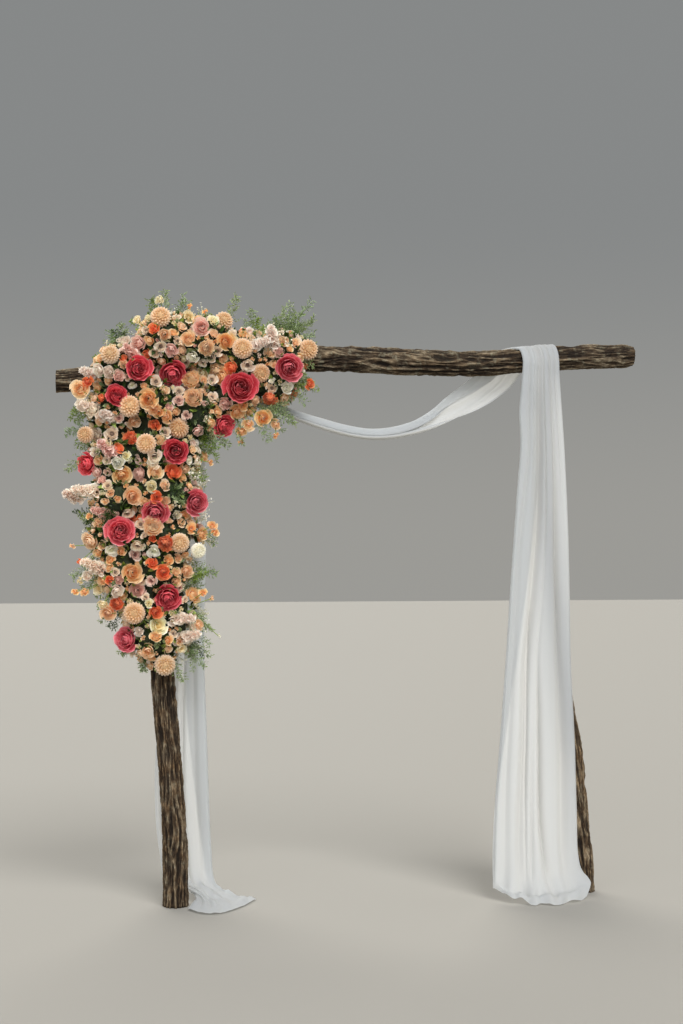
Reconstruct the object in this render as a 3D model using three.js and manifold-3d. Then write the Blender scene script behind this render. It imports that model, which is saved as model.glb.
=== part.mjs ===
// A two-post wedding arch. Two bark logs stand on the ground and carry a third across their
// tops, one long white cloth hangs on them, and beds of cut flowers are tied over the left
// corner. Millimetres, +Z up. The origin is the middle of the left post's foot, +X runs to
// the right post, and the guests stand on the -Y side.
import * as THREE from 'three';
import { mergeVertices } from 'three/addons/utils/BufferGeometryUtils.js';
import Module from 'manifold-3d';

const wasm = await Module();
wasm.setup();

// Driving dimensions. A log's line is its pith, as [x, z, radius].
const beamLine = [
  [-470, 2080, 46], [-105, 2116, 50], [255, 2163, 54], [620, 2192, 55],
  [912, 2187, 55], [1249, 2183, 54], [1614, 2213, 53], [1906, 2225, 50],
];
const leftPostLine = [
  [2, -40, 52], [0, 245, 52], [-17, 540, 50], [-45, 835, 49], [-80, 1200, 48],
  [-104, 1600, 47], [-116, 2086, 46],
];
const rightPostLine = [
  [1684, -40, 51], [1675, 150, 51], [1654, 340, 50], [1632, 572, 50], [1595, 763, 49],
  [1558, 1037, 48], [1500, 1600, 46], [1484, 2162, 46],
];
const clearance = 0.4;          // gap that touching pieces keep
const girthWobble = 0.035;      // how far a log is from round
const screwX = { left: -114, right: 1485 };
const screw = {
  headRadius: 12, headHeight: 8, washerRadius: 18, washerHeight: 2, shankRadius: 5, length: 165,
};
const counterbore = 14;         // depth of the screw head's recess in the beam
const clothWrap = 15;           // thickness of the gathered cloth round the beam
const bedY = -72;               // the flower beds' middle, in front of the logs
const columnBedBack = 24;       // the beds on the post stop here, in front of the cloth
const tie = { width: 10, thickness: 3 };

const colours = {
  bark: [0x7d7166, 0.95, 0], steel: [0x6d6f70, 0.45, 0.9], cloth: [0xeef0f2, 0.9, 0],
  foliage: [0x55633f, 0.9, 0], rose: [0xa83246, 0.75, 0], dahlia: [0xe3bf92, 0.8, 0],
  wire: [0x3c4a35, 0.6, 0.2],
};

// One material a finish, from its colour, roughness and metalness.
function finish(kind) {
  const [color, roughness, metalness] = colours[kind];
  return new THREE.MeshStandardMaterial({ color, roughness, metalness });
}

// A geometry whose every vertex is sent to a new place.
function warp(geometry, move) {
  const places = geometry.attributes.position;
  const point = new THREE.Vector3();
  for (let i = 0; i < places.count; i += 1) {
    point.fromBufferAttribute(places, i);
    places.setXYZ(i, ...move(point).toArray());
  }
  return geometry;
}

function toSolid(geometry) {
  const bare = geometry.clone();
  bare.deleteAttribute('normal');
  bare.deleteAttribute('uv');
  const merged = mergeVertices(bare, 1e-3);
  const vertProperties = new Float32Array(merged.attributes.position.array);
  const triVerts = new Uint32Array(merged.index.array);
  return new wasm.Manifold(new wasm.Mesh({ numProp: 3, vertProperties, triVerts }));
}

function toGeometry(solid) {
  const { numProp, vertProperties, triVerts } = solid.getMesh();
  const places = new Float32Array(triVerts.length * 3);
  triVerts.forEach((vertex, corner) => {
    for (let axis = 0; axis < 3; axis += 1) {
      places[corner * 3 + axis] = vertProperties[vertex * numProp + axis];
    }
  });
  const geometry = new THREE.BufferGeometry();
  geometry.setAttribute('position', new THREE.BufferAttribute(places, 3));
  geometry.computeVertexNormals();
  return geometry;
}

// Every value of a row, at t from 0 to 1 along the rows.
function along(rows, t) {
  const place = t * (rows.length - 1);
  const from = Math.min(Math.floor(place), rows.length - 2);
  return rows[from].map((value, i) => THREE.MathUtils.lerp(value, rows[from + 1][i], place - from));
}

function smoothLine(points) {
  return new THREE.CatmullRomCurve3(points, false, 'centripetal');
}

// A tube of any section that follows a line; across(t) is the section's first direction,
// and section(sine, cosine, t) gives how far to go along it and square to it. Its ends
// reach past the line by grow.
function sweep(line, across, section, sides, steps, grow) {
  const tube = new THREE.CylinderGeometry(1, 1, 1, sides, steps);
  return warp(tube, (p) => {
    const t = p.y + 0.5;
    const first = across(t).normalize();
    const ahead = line.getTangent(t);
    const second = new THREE.Vector3().crossVectors(first, ahead).normalize();
    const [one, two] = section(p.x, p.z, t);
    const centre = line.getPoint(t).addScaledVector(ahead, grow * (2 * t - 1));
    return centre.addScaledVector(first, one).addScaledVector(second, two);
  });
}

// A log is swept along its pith, with a slow wobble in its girth.
function log(rows, grow, { sides = 12, steps = 18, phase = 0 } = {}) {
  const pith = smoothLine(rows.map(([x, z]) => new THREE.Vector3(x, 0, z)));
  const girth = (sine, cosine, t) => {
    const turn = Math.atan2(sine, cosine);
    const wave = Math.sin(2 * turn + 9 * t + phase) + 0.6 * Math.sin(3 * turn - 14 * t + phase);
    const radius = along(rows, t)[2] * (1 + girthWobble * wave) + grow;
    return [sine * radius, cosine * radius];
  };
  return sweep(pith, () => new THREE.Vector3(0, 1, 0), girth, sides, steps, grow);
}

// A band of gathered cloth between two edge lines. Each row is one edge's x, y, z, the
// other edge's x, y, z, and the thickness; folds run along the band.
function band(rows, grow, { sides = 12, steps = 14, folds = 0, depth = 0 } = {}) {
  const edge = (i) => smoothLine(rows.map((row) => new THREE.Vector3(...row.slice(i, i + 3))));
  const [left, right] = [edge(0), edge(3)];
  const middle = new THREE.Curve();
  middle.getPoint = (t) => left.getPoint(t).lerp(right.getPoint(t), 0.5);
  middle.getTangent = (t) => {
    const start = Math.max(0, t - 0.01);
    const end = Math.min(1, t + 0.01);
    return middle.getPoint(end).sub(middle.getPoint(start)).normalize();
  };
  const across = (t) => right.getPoint(t).sub(left.getPoint(t));
  const section = (sine, cosine, t) => {
    const halfWidth = across(t).length() / 2 + grow;
    const halfThick = along(rows, t)[6] / 2 + grow;
    const fold = depth * Math.sin(folds * Math.PI * sine + 2 * t);
    return [sine * halfWidth, cosine * halfThick + fold];
  };
  return sweep(middle, across, section, sides, steps, grow);
}

// What lies below z = 0, which nothing reaches into.
const ground = toSolid(new THREE.BoxGeometry(3000, 3000, 400).translate(800, 0, -200));

// A low heap of cloth on the ground, cut off flat at z = 0.
function heap(mounds, grow) {
  const parts = mounds.map(([x, y, rx, ry, rz]) => toSolid(
    new THREE.SphereGeometry(1, 14, 8).rotateX(Math.PI / 2)
      .scale(rx + grow, ry + grow, rz + grow).translate(x, y, 0),
  ));
  const joined = parts.reduce((sum, part) => sum.add(part));
  return joined.subtract(ground);
}

// Points of the beam's pith at a given x, with its radius there.
function beamAt(x) {
  const pith = smoothLine(beamLine.map(([px, pz]) => new THREE.Vector3(px, 0, pz)));
  let [low, high] = [0, 1];
  for (let i = 0; i < 30; i += 1) {
    const half = (low + high) / 2;
    if (pith.getPoint(half).x < x) low = half;
    else high = half;
  }
  return { z: pith.getPoint(low).z, radius: along(beamLine, low)[2] };
}

// Pieces are made in order, and each is cut clear of those before it that it would touch.
const made = [];
const arch = new THREE.Group();
arch.name = 'wedding_arch';

function add(name, kind, make) {
  const cutters = made.map((piece) => piece.grown);
  const whole = cutters.reduce((solid, cutter) => solid.subtract(cutter), make(0));
  const bodies = whole.decompose().sort((a, b) => b.volume() - a.volume());
  const mesh = new THREE.Mesh(toGeometry(bodies[0]), finish(kind));
  mesh.name = name;
  arch.add(mesh);
  made.push({ name, grown: make(clearance) });
}

// A long screw stands in the beam: its head in a recess, its shank down into the post.
function screwProfile(grow) {
  const { headRadius, headHeight, washerRadius, washerHeight, shankRadius, length } = screw;
  return [
    [0, -length - grow], [shankRadius + grow, -length - grow], [shankRadius + grow, -grow],
    [washerRadius + grow, -grow], [washerRadius + grow, washerHeight + grow],
    [headRadius + grow, washerHeight + grow],
    [headRadius + grow, washerHeight + headHeight + grow], [0, washerHeight + headHeight + grow],
  ].map(([r, z]) => new THREE.Vector2(r, z));
}

function makeScrew(x, grow) {
  const seat = beamAt(x);
  const turned = new THREE.LatheGeometry(screwProfile(grow), 12).rotateX(Math.PI / 2);
  return toSolid(turned.translate(x, 0, seat.z + seat.radius - counterbore));
}

function screwRecess(x) {
  const seat = beamAt(x);
  const depth = 60;
  const bore = new THREE.CylinderGeometry(screw.washerRadius + 1, screw.washerRadius + 1, depth, 12);
  bore.rotateX(Math.PI / 2);
  return toSolid(bore.translate(x, 0, seat.z + seat.radius - counterbore + depth / 2 - clearance));
}

// The three logs, and the screws that hold the beam down on the posts.
for (const [side, x] of Object.entries(screwX)) {
  add(`${side}_screw`, 'steel', (grow) => makeScrew(x, grow));
}
add('cross_beam', 'bark', (grow) => {
  const whole = toSolid(log(beamLine, grow, { phase: 1.3 }));
  if (grow > 0) return whole;
  return Object.values(screwX).reduce((beam, x) => beam.subtract(screwRecess(x)), whole);
});
add('left_post', 'bark', (grow) => toSolid(log(leftPostLine, grow, { phase: 0.4 })).subtract(ground));
add('right_post', 'bark', (grow) => toSolid(log(rightPostLine, grow, { phase: 2.2 })).subtract(ground));

// A ring round a log: a short length of the grown log, hollowed by the log itself.
function ring(rows, grow, from, to, thickness, phase) {
  const sleeve = toSolid(log(rows, thickness + grow, { phase }));
  const [middle, length] = [(from + to) / 2, to - from + 2 * grow];
  const slice = new THREE.BoxGeometry(length, 400, 400);
  return sleeve.intersect(toSolid(slice.translate(middle, 0, beamAt(middle).z)));
}

// The cloth: a heap and a panel behind the left post, a turn round the beam, the swag, a
// saddle over the beam, and a panel and a heap in front of the right post.
add('drape_left_wrap', 'cloth', (grow) => ring(beamLine, grow, 30, 190, clothWrap, 1.3));

const leftPanel = [
  [-75, 92, 30, 160, 80, 30, 70], [-68, 86, 230, 147, 86, 230, 62], [-80, 82, 600, 132, 82, 600, 56],
  [-92, 80, 1000, 126, 80, 1000, 54], [-120, 78, 1500, 134, 78, 1500, 52],
  [-90, 76, 1800, 120, 76, 1800, 50], [20, 74, 2085, 170, 74, 2085, 40],
];
add('drape_left_panel', 'cloth', (grow) => (
  toSolid(band(leftPanel, grow, { sides: 14, steps: 10, folds: 2, depth: 8 }))
));

// The saddle runs from the back of the beam, over its top and down its front, and shifts
// to the right as it goes.
const saddleTurn = { from: 188, to: 8 };      // degrees, 0 at the front and 90 on top
const saddleRows = [0, 0.2, 0.4, 0.6, 0.8, 1].map((t) => {
  const turn = THREE.MathUtils.degToRad(THREE.MathUtils.lerp(saddleTurn.from, saddleTurn.to, t));
  const edges = [THREE.MathUtils.lerp(1250, 1406, t), THREE.MathUtils.lerp(1438, 1559, t)];
  const points = edges.map((x) => {
    const { z, radius } = beamAt(x);
    const reach = radius + clothWrap / 2;
    return [x, -reach * Math.cos(turn), z + reach * Math.sin(turn)];
  });
  return [...points[0], ...points[1], 2 * clothWrap];
});
add('drape_right_saddle', 'cloth', (grow) => toSolid(band(saddleRows, grow, { sides: 8, steps: 10 })));

const swagRows = [
  [150, 0, 2086, 150, 0, 2046, 34], [300, 4, 2040, 300, 4, 2004, 34],
  [464, 8, 1986, 464, 8, 1952, 32], [600, 14, 1930, 600, 14, 1896, 34],
  [712, 20, 1905, 712, 20, 1870, 36], [796, 26, 1908, 800, 26, 1865, 38],
  [880, 34, 1942, 922, 34, 1877, 40], [964, 44, 1981, 1048, 44, 1909, 40],
  [1048, 56, 2018, 1176, 56, 1965, 38], [1133, 68, 2062, 1300, 68, 2040, 34],
  [1205, 76, 2110, 1400, 78, 2112, 32], [1250, 76, 2190, 1440, 78, 2190, 30],
];
add('drape_swag', 'cloth', (grow) => toSolid(band(swagRows, grow, { sides: 8, steps: 18 })));

const rightPanel = [
  [1406, -72, 2210, 1559, -72, 2212, 30], [1392, -82, 1905, 1592, -82, 1905, 46],
  [1371, -84, 1616, 1608, -84, 1617, 50], [1331, -88, 1045, 1614, -86, 1042, 54],
  [1306, -98, 715, 1621, -92, 715, 60], [1292, -112, 388, 1633, -98, 388, 68],
  [1270, -136, 90, 1644, -112, 90, 80], [1268, -140, 20, 1650, -120, 20, 84],
];
add('drape_right_panel', 'cloth', (grow) => (
  toSolid(band(rightPanel, grow, { sides: 20, steps: 12, folds: 2.5, depth: 11 }))
));

const leftMounds = [[120, 40, 150, 105, 52], [150, -50, 105, 85, 40], [250, 60, 85, 55, 30], [0, 90, 95, 55, 46]];
const rightMounds = [[1430, -145, 165, 95, 60], [1590, -130, 85, 75, 78], [1330, -120, 70, 60, 40]];
add('drape_left_pool', 'cloth', (grow) => heap(leftMounds, grow));
add('drape_right_pool', 'cloth', (grow) => heap(rightMounds, grow));

// The flower beds: foam and foliage in rounded masses, as [x, z, radius].
const beds = {
  bed_crown: [[-40, 2235, 128], [-215, 2110, 124], [110, 2225, 124]],
  bed_beam: [[270, 2180, 120], [420, 2190, 112], [400, 2075, 92], [230, 2030, 104]],
  bed_corner: [[-250, 1960, 112], [-80, 1990, 130], [80, 1955, 118]],
  bed_upper: [
    [-240, 1780, 112], [-90, 1800, 124], [10, 1790, 98], [-235, 1620, 112], [-70, 1640, 124],
    [15, 1620, 92],
  ],
  bed_lower: [[-240, 1460, 110], [-80, 1470, 124], [20, 1460, 96], [-215, 1320, 108], [-60, 1320, 116]],
  bed_tail: [[-120, 1180, 108], [0, 1180, 92], [-95, 1060, 98], [0, 1080, 82], [-60, 985, 62]],
};
const mounds = Object.values(beds).flat();

// Where a flower sits at x, z on the beds, and which way their surface faces there.
function seatOnBed(x, z) {
  const seats = mounds.map(([cx, cz, radius]) => {
    const side = new THREE.Vector2((x - cx) / radius, (z - cz) / radius);
    const outside = Math.max(0, side.length() - 1);
    side.clampLength(0, 0.96);
    const depth = Math.sqrt(1 - side.lengthSq());
    return {
      place: new THREE.Vector3(cx + side.x * radius, bedY - depth * radius, cz + side.y * radius),
      facing: new THREE.Vector3(side.x, -depth, side.y),
      score: bedY - depth * radius + 2000 * outside,
    };
  });
  return seats.reduce((best, seat) => (seat.score < best.score ? seat : best));
}

// A flower is turned about its axis: [radius, height] of its outline, as parts of its radius.
const outlines = {
  rose: [[0, -0.6], [0.62, -0.44], [1, 0.08], [0.8, 0.36], [0.36, 0.46], [0, 0.52]],
  dahlia: [[0, -0.66], [0.7, -0.46], [1, 0.06], [0.7, 0.5], [0, 0.66]],
};
const up = new THREE.Vector3(0, 1, 0);
const forward = new THREE.Vector3(0, -1, 0);

function flower(kind, [x, z, radius], grow) {
  const size = radius + grow;
  const profile = outlines[kind].map(([r, h]) => new THREE.Vector2(r * size, h * size));
  const { place, facing } = seatOnBed(x, z);
  const centre = place.clone().addScaledVector(facing, 0.12 * radius);
  const look = facing.clone().multiplyScalar(0.75).addScaledVector(forward, 0.25).normalize();
  const turned = new THREE.LatheGeometry(profile, 9);
  turned.applyQuaternion(new THREE.Quaternion().setFromUnitVectors(up, look));
  return toSolid(turned.translate(...centre.toArray()));
}

// Flowers as [x, z, radius].
const roses = [
  [-155, 2115, 51], [-20, 2110, 58], [-235, 2005, 48], [245, 2045, 67], [435, 2135, 58],
  [180, 1905, 46], [-5, 1795, 54], [-345, 1750, 48], [70, 1600, 50], [-85, 1560, 56],
  [-220, 1485, 58], [-35, 1235, 56], [-190, 1060, 52],
];
const dahlias = [
  [-65, 2320, 41], [190, 2330, 38], [250, 2200, 41], [515, 2210, 42], [325, 2110, 38],
  [5, 1890, 42], [10, 1440, 39], [-165, 1170, 43], [-45, 965, 42],
];
const number = (i) => String(i + 1).padStart(2, '0');
roses.forEach((row, i) => add(`rose_${number(i)}`, 'rose', (grow) => flower('rose', row, grow)));
dahlias.forEach((row, i) => add(`dahlia_${number(i)}`, 'dahlia', (grow) => flower('dahlia', row, grow)));

// Sprays of greenery that stand out of the beds: root, tip and radius.
const sprays = {
  spray_crown: [[-45, -80, 2320], [-50, -66, 2412], 24],
  spray_beam: [[420, -80, 2270], [566, -70, 2414], 26],
  spray_side: [[-290, -90, 1390], [-400, -100, 1310], 24],
  spray_tail: [[-40, -80, 1000], [20, -92, 908], 20],
};
function spray([root, tip, radius], grow) {
  const [from, to] = [new THREE.Vector3(...root), new THREE.Vector3(...tip)];
  const axis = to.clone().sub(from);
  const half = axis.length() / 2;
  const stretch = (radius + grow) / radius;
  const profile = [[0, -1], [0.55, -0.6], [1, 0], [0.6, 0.6], [0, 1]]
    .map(([r, h]) => new THREE.Vector2(r * radius * stretch, h * half * stretch));
  const leafy = new THREE.LatheGeometry(profile, 6);
  leafy.applyQuaternion(new THREE.Quaternion().setFromUnitVectors(up, axis.normalize()));
  return toSolid(leafy.translate(...from.lerp(to, 0.5).toArray()));
}
for (const [name, row] of Object.entries(sprays)) {
  add(name, 'foliage', (grow) => spray(row, grow));
}

// Wires that tie the beds to the logs.
const beamTies = { tie_beam_left: -250, tie_beam_right: 330 };
for (const [name, x] of Object.entries(beamTies)) {
  add(name, 'wire', (grow) => ring(beamLine, grow, x, x + tie.width, tie.thickness, 1.3));
}

const behindColumn = toSolid(
  new THREE.BoxGeometry(900, 200, 1200).translate(0, columnBedBack + 100, 1420),
);
for (const [name, parts] of Object.entries(beds)) {
  add(name, 'foliage', (grow) => {
    const balls = parts.map(([x, z, radius]) => toSolid(
      new THREE.IcosahedronGeometry(radius + grow, 1).translate(x, bedY, z),
    ));
    return balls.reduce((sum, ball) => sum.add(ball)).subtract(behindColumn);
  });
}

export default arch;
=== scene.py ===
# Two-post wedding arch: bark logs, one long chiffon cloth, and a bed of flowers on its left corner.
# Metres. The frame's origin is the left post's foot, X runs to the right post, and -Y faces the guests.
import math

import bpy
import numpy as np
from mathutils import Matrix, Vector, noise
from mathutils.bvhtree import BVHTree


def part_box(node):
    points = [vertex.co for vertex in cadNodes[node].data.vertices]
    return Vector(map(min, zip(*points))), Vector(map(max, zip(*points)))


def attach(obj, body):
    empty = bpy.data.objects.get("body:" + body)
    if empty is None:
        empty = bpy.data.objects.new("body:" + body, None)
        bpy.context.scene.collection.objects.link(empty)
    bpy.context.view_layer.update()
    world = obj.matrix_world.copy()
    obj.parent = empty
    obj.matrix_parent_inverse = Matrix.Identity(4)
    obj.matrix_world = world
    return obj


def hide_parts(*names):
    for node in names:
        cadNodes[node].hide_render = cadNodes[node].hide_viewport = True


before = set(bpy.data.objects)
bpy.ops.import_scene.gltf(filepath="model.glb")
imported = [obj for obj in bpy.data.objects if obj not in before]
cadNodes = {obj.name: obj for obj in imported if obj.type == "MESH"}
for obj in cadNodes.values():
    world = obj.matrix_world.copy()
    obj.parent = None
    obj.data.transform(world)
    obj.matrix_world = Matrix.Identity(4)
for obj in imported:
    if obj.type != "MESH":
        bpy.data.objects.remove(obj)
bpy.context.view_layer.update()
fullTurn = 2 * math.pi
noiseRows = 512  # rows of random slopes that slopeNoise has before it repeats
anySpin = (0, 6.28)  # radians, for a shape that is turned at random
print("frame loaded:", len(cadNodes), "nodes")


# Numbers and meshes
def smoothStep(x):
    return x * x * (3 - 2 * x)


def unit(vectors):
    return vectors / np.maximum(np.linalg.norm(vectors, axis=-1, keepdims=True), 1e-9)


def gridFaces(rows, columns, closed=False):
    a = np.arange(rows - 1)[:, None] * columns
    b = np.arange(columns if closed else columns - 1)[None, :]
    c = (b + 1) % columns
    return np.stack([a + b, a + c, a + columns + c, a + columns + b], axis=-1).reshape(-1, 4)


def slopeNoise(u, v, cells, seed):  # smooth noise from -1 to 1, closed round u from 0 to 1
    slopes = np.random.default_rng(seed).uniform(0, fullTurn, (cells, noiseRows))
    a = np.asarray(u) * cells
    b = np.asarray(v)
    i, j = np.floor(a).astype(int), np.floor(b).astype(int)
    f, g = a - i, b - j

    def corner(di, dj):
        angle = slopes[(i + di) % cells, (j + dj) % noiseRows]
        return np.cos(angle) * (f - di) + np.sin(angle) * (g - dj)

    across, along = smoothStep(f), smoothStep(g)
    low = corner(0, 0) * (1 - across) + corner(1, 0) * across
    high = corner(0, 1) * (1 - across) + corner(1, 1) * across
    return 1.4 * (low * (1 - along) + high * along)  # 1.4 spreads it over the whole of -1 to 1


def buildMesh(name, points, faces, materials, tints=None, floats=None, plan=None, faceSlots=None):
    mesh = bpy.data.meshes.new(name)
    mesh.from_pydata(np.asarray(points).tolist(), [], [list(f) for f in faces])
    for material in materials:
        mesh.materials.append(material)
    smooth = [True] * len(mesh.polygons)
    if faceSlots is not None:  # faces with the second material are sawn flat
        mesh.polygons.foreach_set("material_index", faceSlots)
        smooth = [slot == 0 for slot in faceSlots]
    mesh.polygons.foreach_set("use_smooth", smooth)
    if tints is not None:
        layer = mesh.color_attributes.new(name="tint", type="FLOAT_COLOR", domain="POINT")
        layer.data.foreach_set("color", np.asarray(tints, dtype=np.float32).ravel())
    for key, values in (floats or {}).items():
        layer = mesh.attributes.new(key, "FLOAT", "POINT")
        layer.data.foreach_set("value", np.asarray(values, dtype=np.float32))
    if plan is not None:
        corner = np.empty(len(mesh.loops), dtype=np.int32)
        mesh.loops.foreach_get("vertex_index", corner)
        uv = mesh.uv_layers.new(name="plan")
        uv.data.foreach_set("uv", np.asarray(plan, dtype=np.float32)[corner].ravel())
    mesh.update()
    piece = bpy.data.objects.new(name, mesh)
    bpy.context.scene.collection.objects.link(piece)
    return piece


# Shader helpers. An input is given as a value, or as the output that feeds it
def feed(tree, socket, value):
    if isinstance(value, bpy.types.NodeSocket):
        tree.links.new(value, socket)
    elif value is not None:
        socket.default_value = value


def newMaterial(name, roughness):
    material = bpy.data.materials.new(name)
    material.use_nodes = True
    shader = material.node_tree.nodes["Principled BSDF"]
    shader.inputs["Roughness"].default_value = roughness
    return material, material.node_tree, shader


def addNode(tree, kind, settings=None, **inputs):
    node = tree.nodes.new("ShaderNode" + kind)
    for key, value in (settings or {}).items():
        setattr(node, key, value)
    for key, value in inputs.items():
        feed(tree, node.inputs[key], value)
    return node


def calculate(tree, operation, *values):
    node = addNode(tree, "Math", {"operation": operation})
    for socket, value in zip(node.inputs, values):
        feed(tree, socket, value)
    return node.outputs[0]


def mapRange(tree, value, fromMin=0.0, fromMax=1.0, toMin=0.0, toMax=1.0, curve="LINEAR"):
    node = addNode(tree, "MapRange", {"interpolation_type": curve})
    for socket, number in zip(node.inputs, (value, fromMin, fromMax, toMin, toMax)):
        feed(tree, socket, number)
    return node.outputs[0]


def mixColour(tree, factor, a, b, blend="MIX"):
    node = addNode(tree, "Mix", {"data_type": "RGBA", "blend_type": blend}, Factor=factor, A=a, B=b)
    return node.outputs["Result"]


def scaleColour(tree, colour, amount):
    return addNode(tree, "VectorMath", {"operation": "SCALE"}, Vector=colour, Scale=amount).outputs[0]


def colourRamp(tree, value, stops):
    node = addNode(tree, "ValToRGB", Fac=value)
    ramp = node.color_ramp
    while len(ramp.elements) < len(stops):
        ramp.elements.new(0.5)
    for element, (place, colour) in zip(ramp.elements, stops):
        element.position = place
        element.color = (*colour, 1.0)
    return node.outputs["Color"]


def grain(tree, place, scale, detail, roughness=0.5, distortion=0.0):
    node = addNode(tree, "TexNoise", Vector=place, Scale=scale, Detail=detail, Roughness=roughness,
                   Distortion=distortion)
    return node.outputs["Fac"]


def planPlace(tree):  # the mesh's own flat plan, in metres
    return addNode(tree, "UVMap", {"uv_map": "plan"}).outputs["UV"]


def objectPlace(tree):
    return addNode(tree, "TexCoord").outputs["Object"]


def meshValue(tree, name, output="Fac"):
    return addNode(tree, "Attribute", {"attribute_name": name}).outputs[output]


def addBump(tree, shader, height, strength, distance):
    bump = addNode(tree, "Bump", Strength=strength, Distance=distance, Height=height)
    tree.links.new(bump.outputs["Normal"], shader.inputs["Normal"])


def letThrough(tree, shader, colour, share):  # this share of the shading glows with light from behind
    glow = addNode(tree, "BsdfTranslucent", Color=colour)
    mix = addNode(tree, "MixShader", Fac=share)
    tree.links.new(shader.outputs[0], mix.inputs[1])
    tree.links.new(glow.outputs[0], mix.inputs[2])
    tree.links.new(mix.outputs[0], tree.nodes["Material Output"].inputs["Surface"])


def newGroup(name, inputs, outputs):
    group = bpy.data.node_groups.new(name, "ShaderNodeTree")
    for label, kind, value in inputs:
        socket = group.interface.new_socket(label, in_out="INPUT", socket_type=kind)
        socket.default_value = value
    for label, kind in outputs:
        group.interface.new_socket(label, in_out="OUTPUT", socket_type=kind)
    return group, group.nodes.new("NodeGroupInput"), group.nodes.new("NodeGroupOutput")


def placeGroup(tree, group, **inputs):
    return addNode(tree, "Group", {"node_tree": group}, **inputs)


# Camera, light and floor
view = {
    "place": (-0.186, -5.723, 1.432),
    "turn": 8.5,  # degrees to the right
    "tilt": 1.33,  # degrees up
    "lens": 50.0,
    "sensor": 36.0,
}
suns = {  # soft daylight from the front, from behind through the cloth, and low from the left
    "key": {"from": (0.25, -0.80, 0.95), "angle": 32, "strength": 3.05, "colour": (1.0, 0.975, 0.93)},
    "back": {"from": (-0.10, 0.80, 0.75), "angle": 55, "strength": 2.4, "colour": (1.0, 0.95, 0.86)},
    "fill": {"from": (-0.50, -1.00, 0.25), "angle": 80, "strength": 1.8, "colour": (0.97, 0.98, 1.0)},
}
room = {
    "horizon": (0.33, 0.325, 0.305),
    "sky": (0.24, 0.248, 0.248),
    "skyFrom": 0.24,  # how far up the horizon's colour reaches, as a share of straight up
    "floor": (0.285, 0.278, 0.26),
    "floorSize": 60.0,
    "floorTop": -0.001,  # just under the feet and the cloth
}


def makeCamera():
    data = bpy.data.cameras.new("camera")
    data.lens = view["lens"]
    data.sensor_width = view["sensor"]
    data.sensor_fit = "AUTO"
    camera = bpy.data.objects.new("camera", data)
    camera.location = view["place"]
    camera.rotation_euler = (math.radians(90 + view["tilt"]), 0, -math.radians(view["turn"]))
    bpy.context.scene.collection.objects.link(camera)
    bpy.context.scene.camera = camera


def makeLights():
    for name, spec in suns.items():
        data = bpy.data.lights.new(name, "SUN")
        data.energy = spec["strength"]
        data.angle = math.radians(spec["angle"])
        data.color = spec["colour"]
        lamp = bpy.data.objects.new(name, data)
        lamp.rotation_euler = Vector(spec["from"]).to_track_quat("Z", "Y").to_euler()
        bpy.context.scene.collection.objects.link(lamp)


def makeSky():
    world = bpy.data.worlds.new("sky")
    world.use_nodes = True
    tree = world.node_tree
    parts = addNode(tree, "SeparateXYZ", Vector=addNode(tree, "TexCoord").outputs["Generated"])
    height = mapRange(tree, parts.outputs["Z"], fromMax=room["skyFrom"], curve="SMOOTHSTEP")
    tone = mixColour(tree, height, (*room["horizon"], 1), (*room["sky"], 1))
    tree.links.new(tone, tree.nodes["Background"].inputs["Color"])
    bpy.context.scene.world = world
    bpy.context.scene.view_settings.view_transform = "Standard"


def makeFloor():
    material, _, shader = newMaterial("floorPlaster", 0.9)
    shader.inputs["Base Color"].default_value = (*room["floor"], 1)
    half, top = room["floorSize"] / 2, room["floorTop"]
    corners = [(-half, -half, top), (half, -half, top), (half, half, top), (-half, half, top)]
    buildMesh("floor", corners, [(0, 1, 2, 3)], [material])


makeCamera()
makeLights()
makeSky()
makeFloor()
print("camera, lights and floor made")


# Bark logs
bark = {
    "around": 104,  # points round a log
    "step": 0.0085,  # metres between rings
    "furrow": 0.0105,  # depth of the deepest furrows
    "proud": 0.0015,  # how far the ridges stand out of the CAD log
    "bulge": 0.03,  # how far a log swells and thins, as a share of its radius
    "bulgeLength": 0.4,
    "endMargin": 0.012,  # metres from a log's ends where its radius is first measured
    "stations": 40,  # places along a log where it is measured
    "plates": 15,  # broad ridges round the log
    "plateLength": 0.190,
    "flakes": 27,  # smaller ridges on them
    "flakeLength": 0.080,
    "fibres": 70,
    "fibreLength": 0.022,
    "patches": 9,  # places round the log where the bark is thicker or worn
    "patchLength": 0.10,
    "wander": 0.045,  # how far the ridges braid, as a share of the way round
    "wanderLength": 0.21,
    "tremble": 0.010,  # and the same for smaller bends
    "trembleLength": 0.06,
    "sharp": 1.4,  # how narrow the tops of the ridges are
    "planRadius": 0.05,  # radius at which the flat plan of the bark is true
    # tones run from the furrows' floor to the ridges; the near-black furrows are partly the bark's own colour
    # and partly painted shade
    "tones": [
        (0.10, (0.007, 0.0045, 0.003)), (0.36, (0.031, 0.021, 0.013)), (0.58, (0.079, 0.059, 0.038)),
        (0.78, (0.155, 0.124, 0.084)), (0.96, (0.335, 0.288, 0.208)),
    ],
    "warmTint": (1.0, 0.72, 0.46, 1),
    "lichenTint": (0.33, 0.325, 0.24, 1),
}
sawn = {
    "rings": (0.93, 0.6, 0.25),  # rings of points on a cut end, as shares of its size
    "relief": 0.6,  # as if at this height of the bark
    "heartFrom": 0.026,  # metres from the pith at which the heart begins to pale
    "heartTo": 0.056,
    "tones": [
        (0.0, (0.115, 0.070, 0.042)), (0.35, (0.20, 0.135, 0.085)), (0.6, (0.33, 0.25, 0.165)),
        (1.0, (0.25, 0.185, 0.12)),
    ],
    "cracks": 4.0,  # drying cracks round the end
    "crackTone": 0.35,  # how dark they are
    "years": 55.0,  # how close the growth rings lie
}


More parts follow.
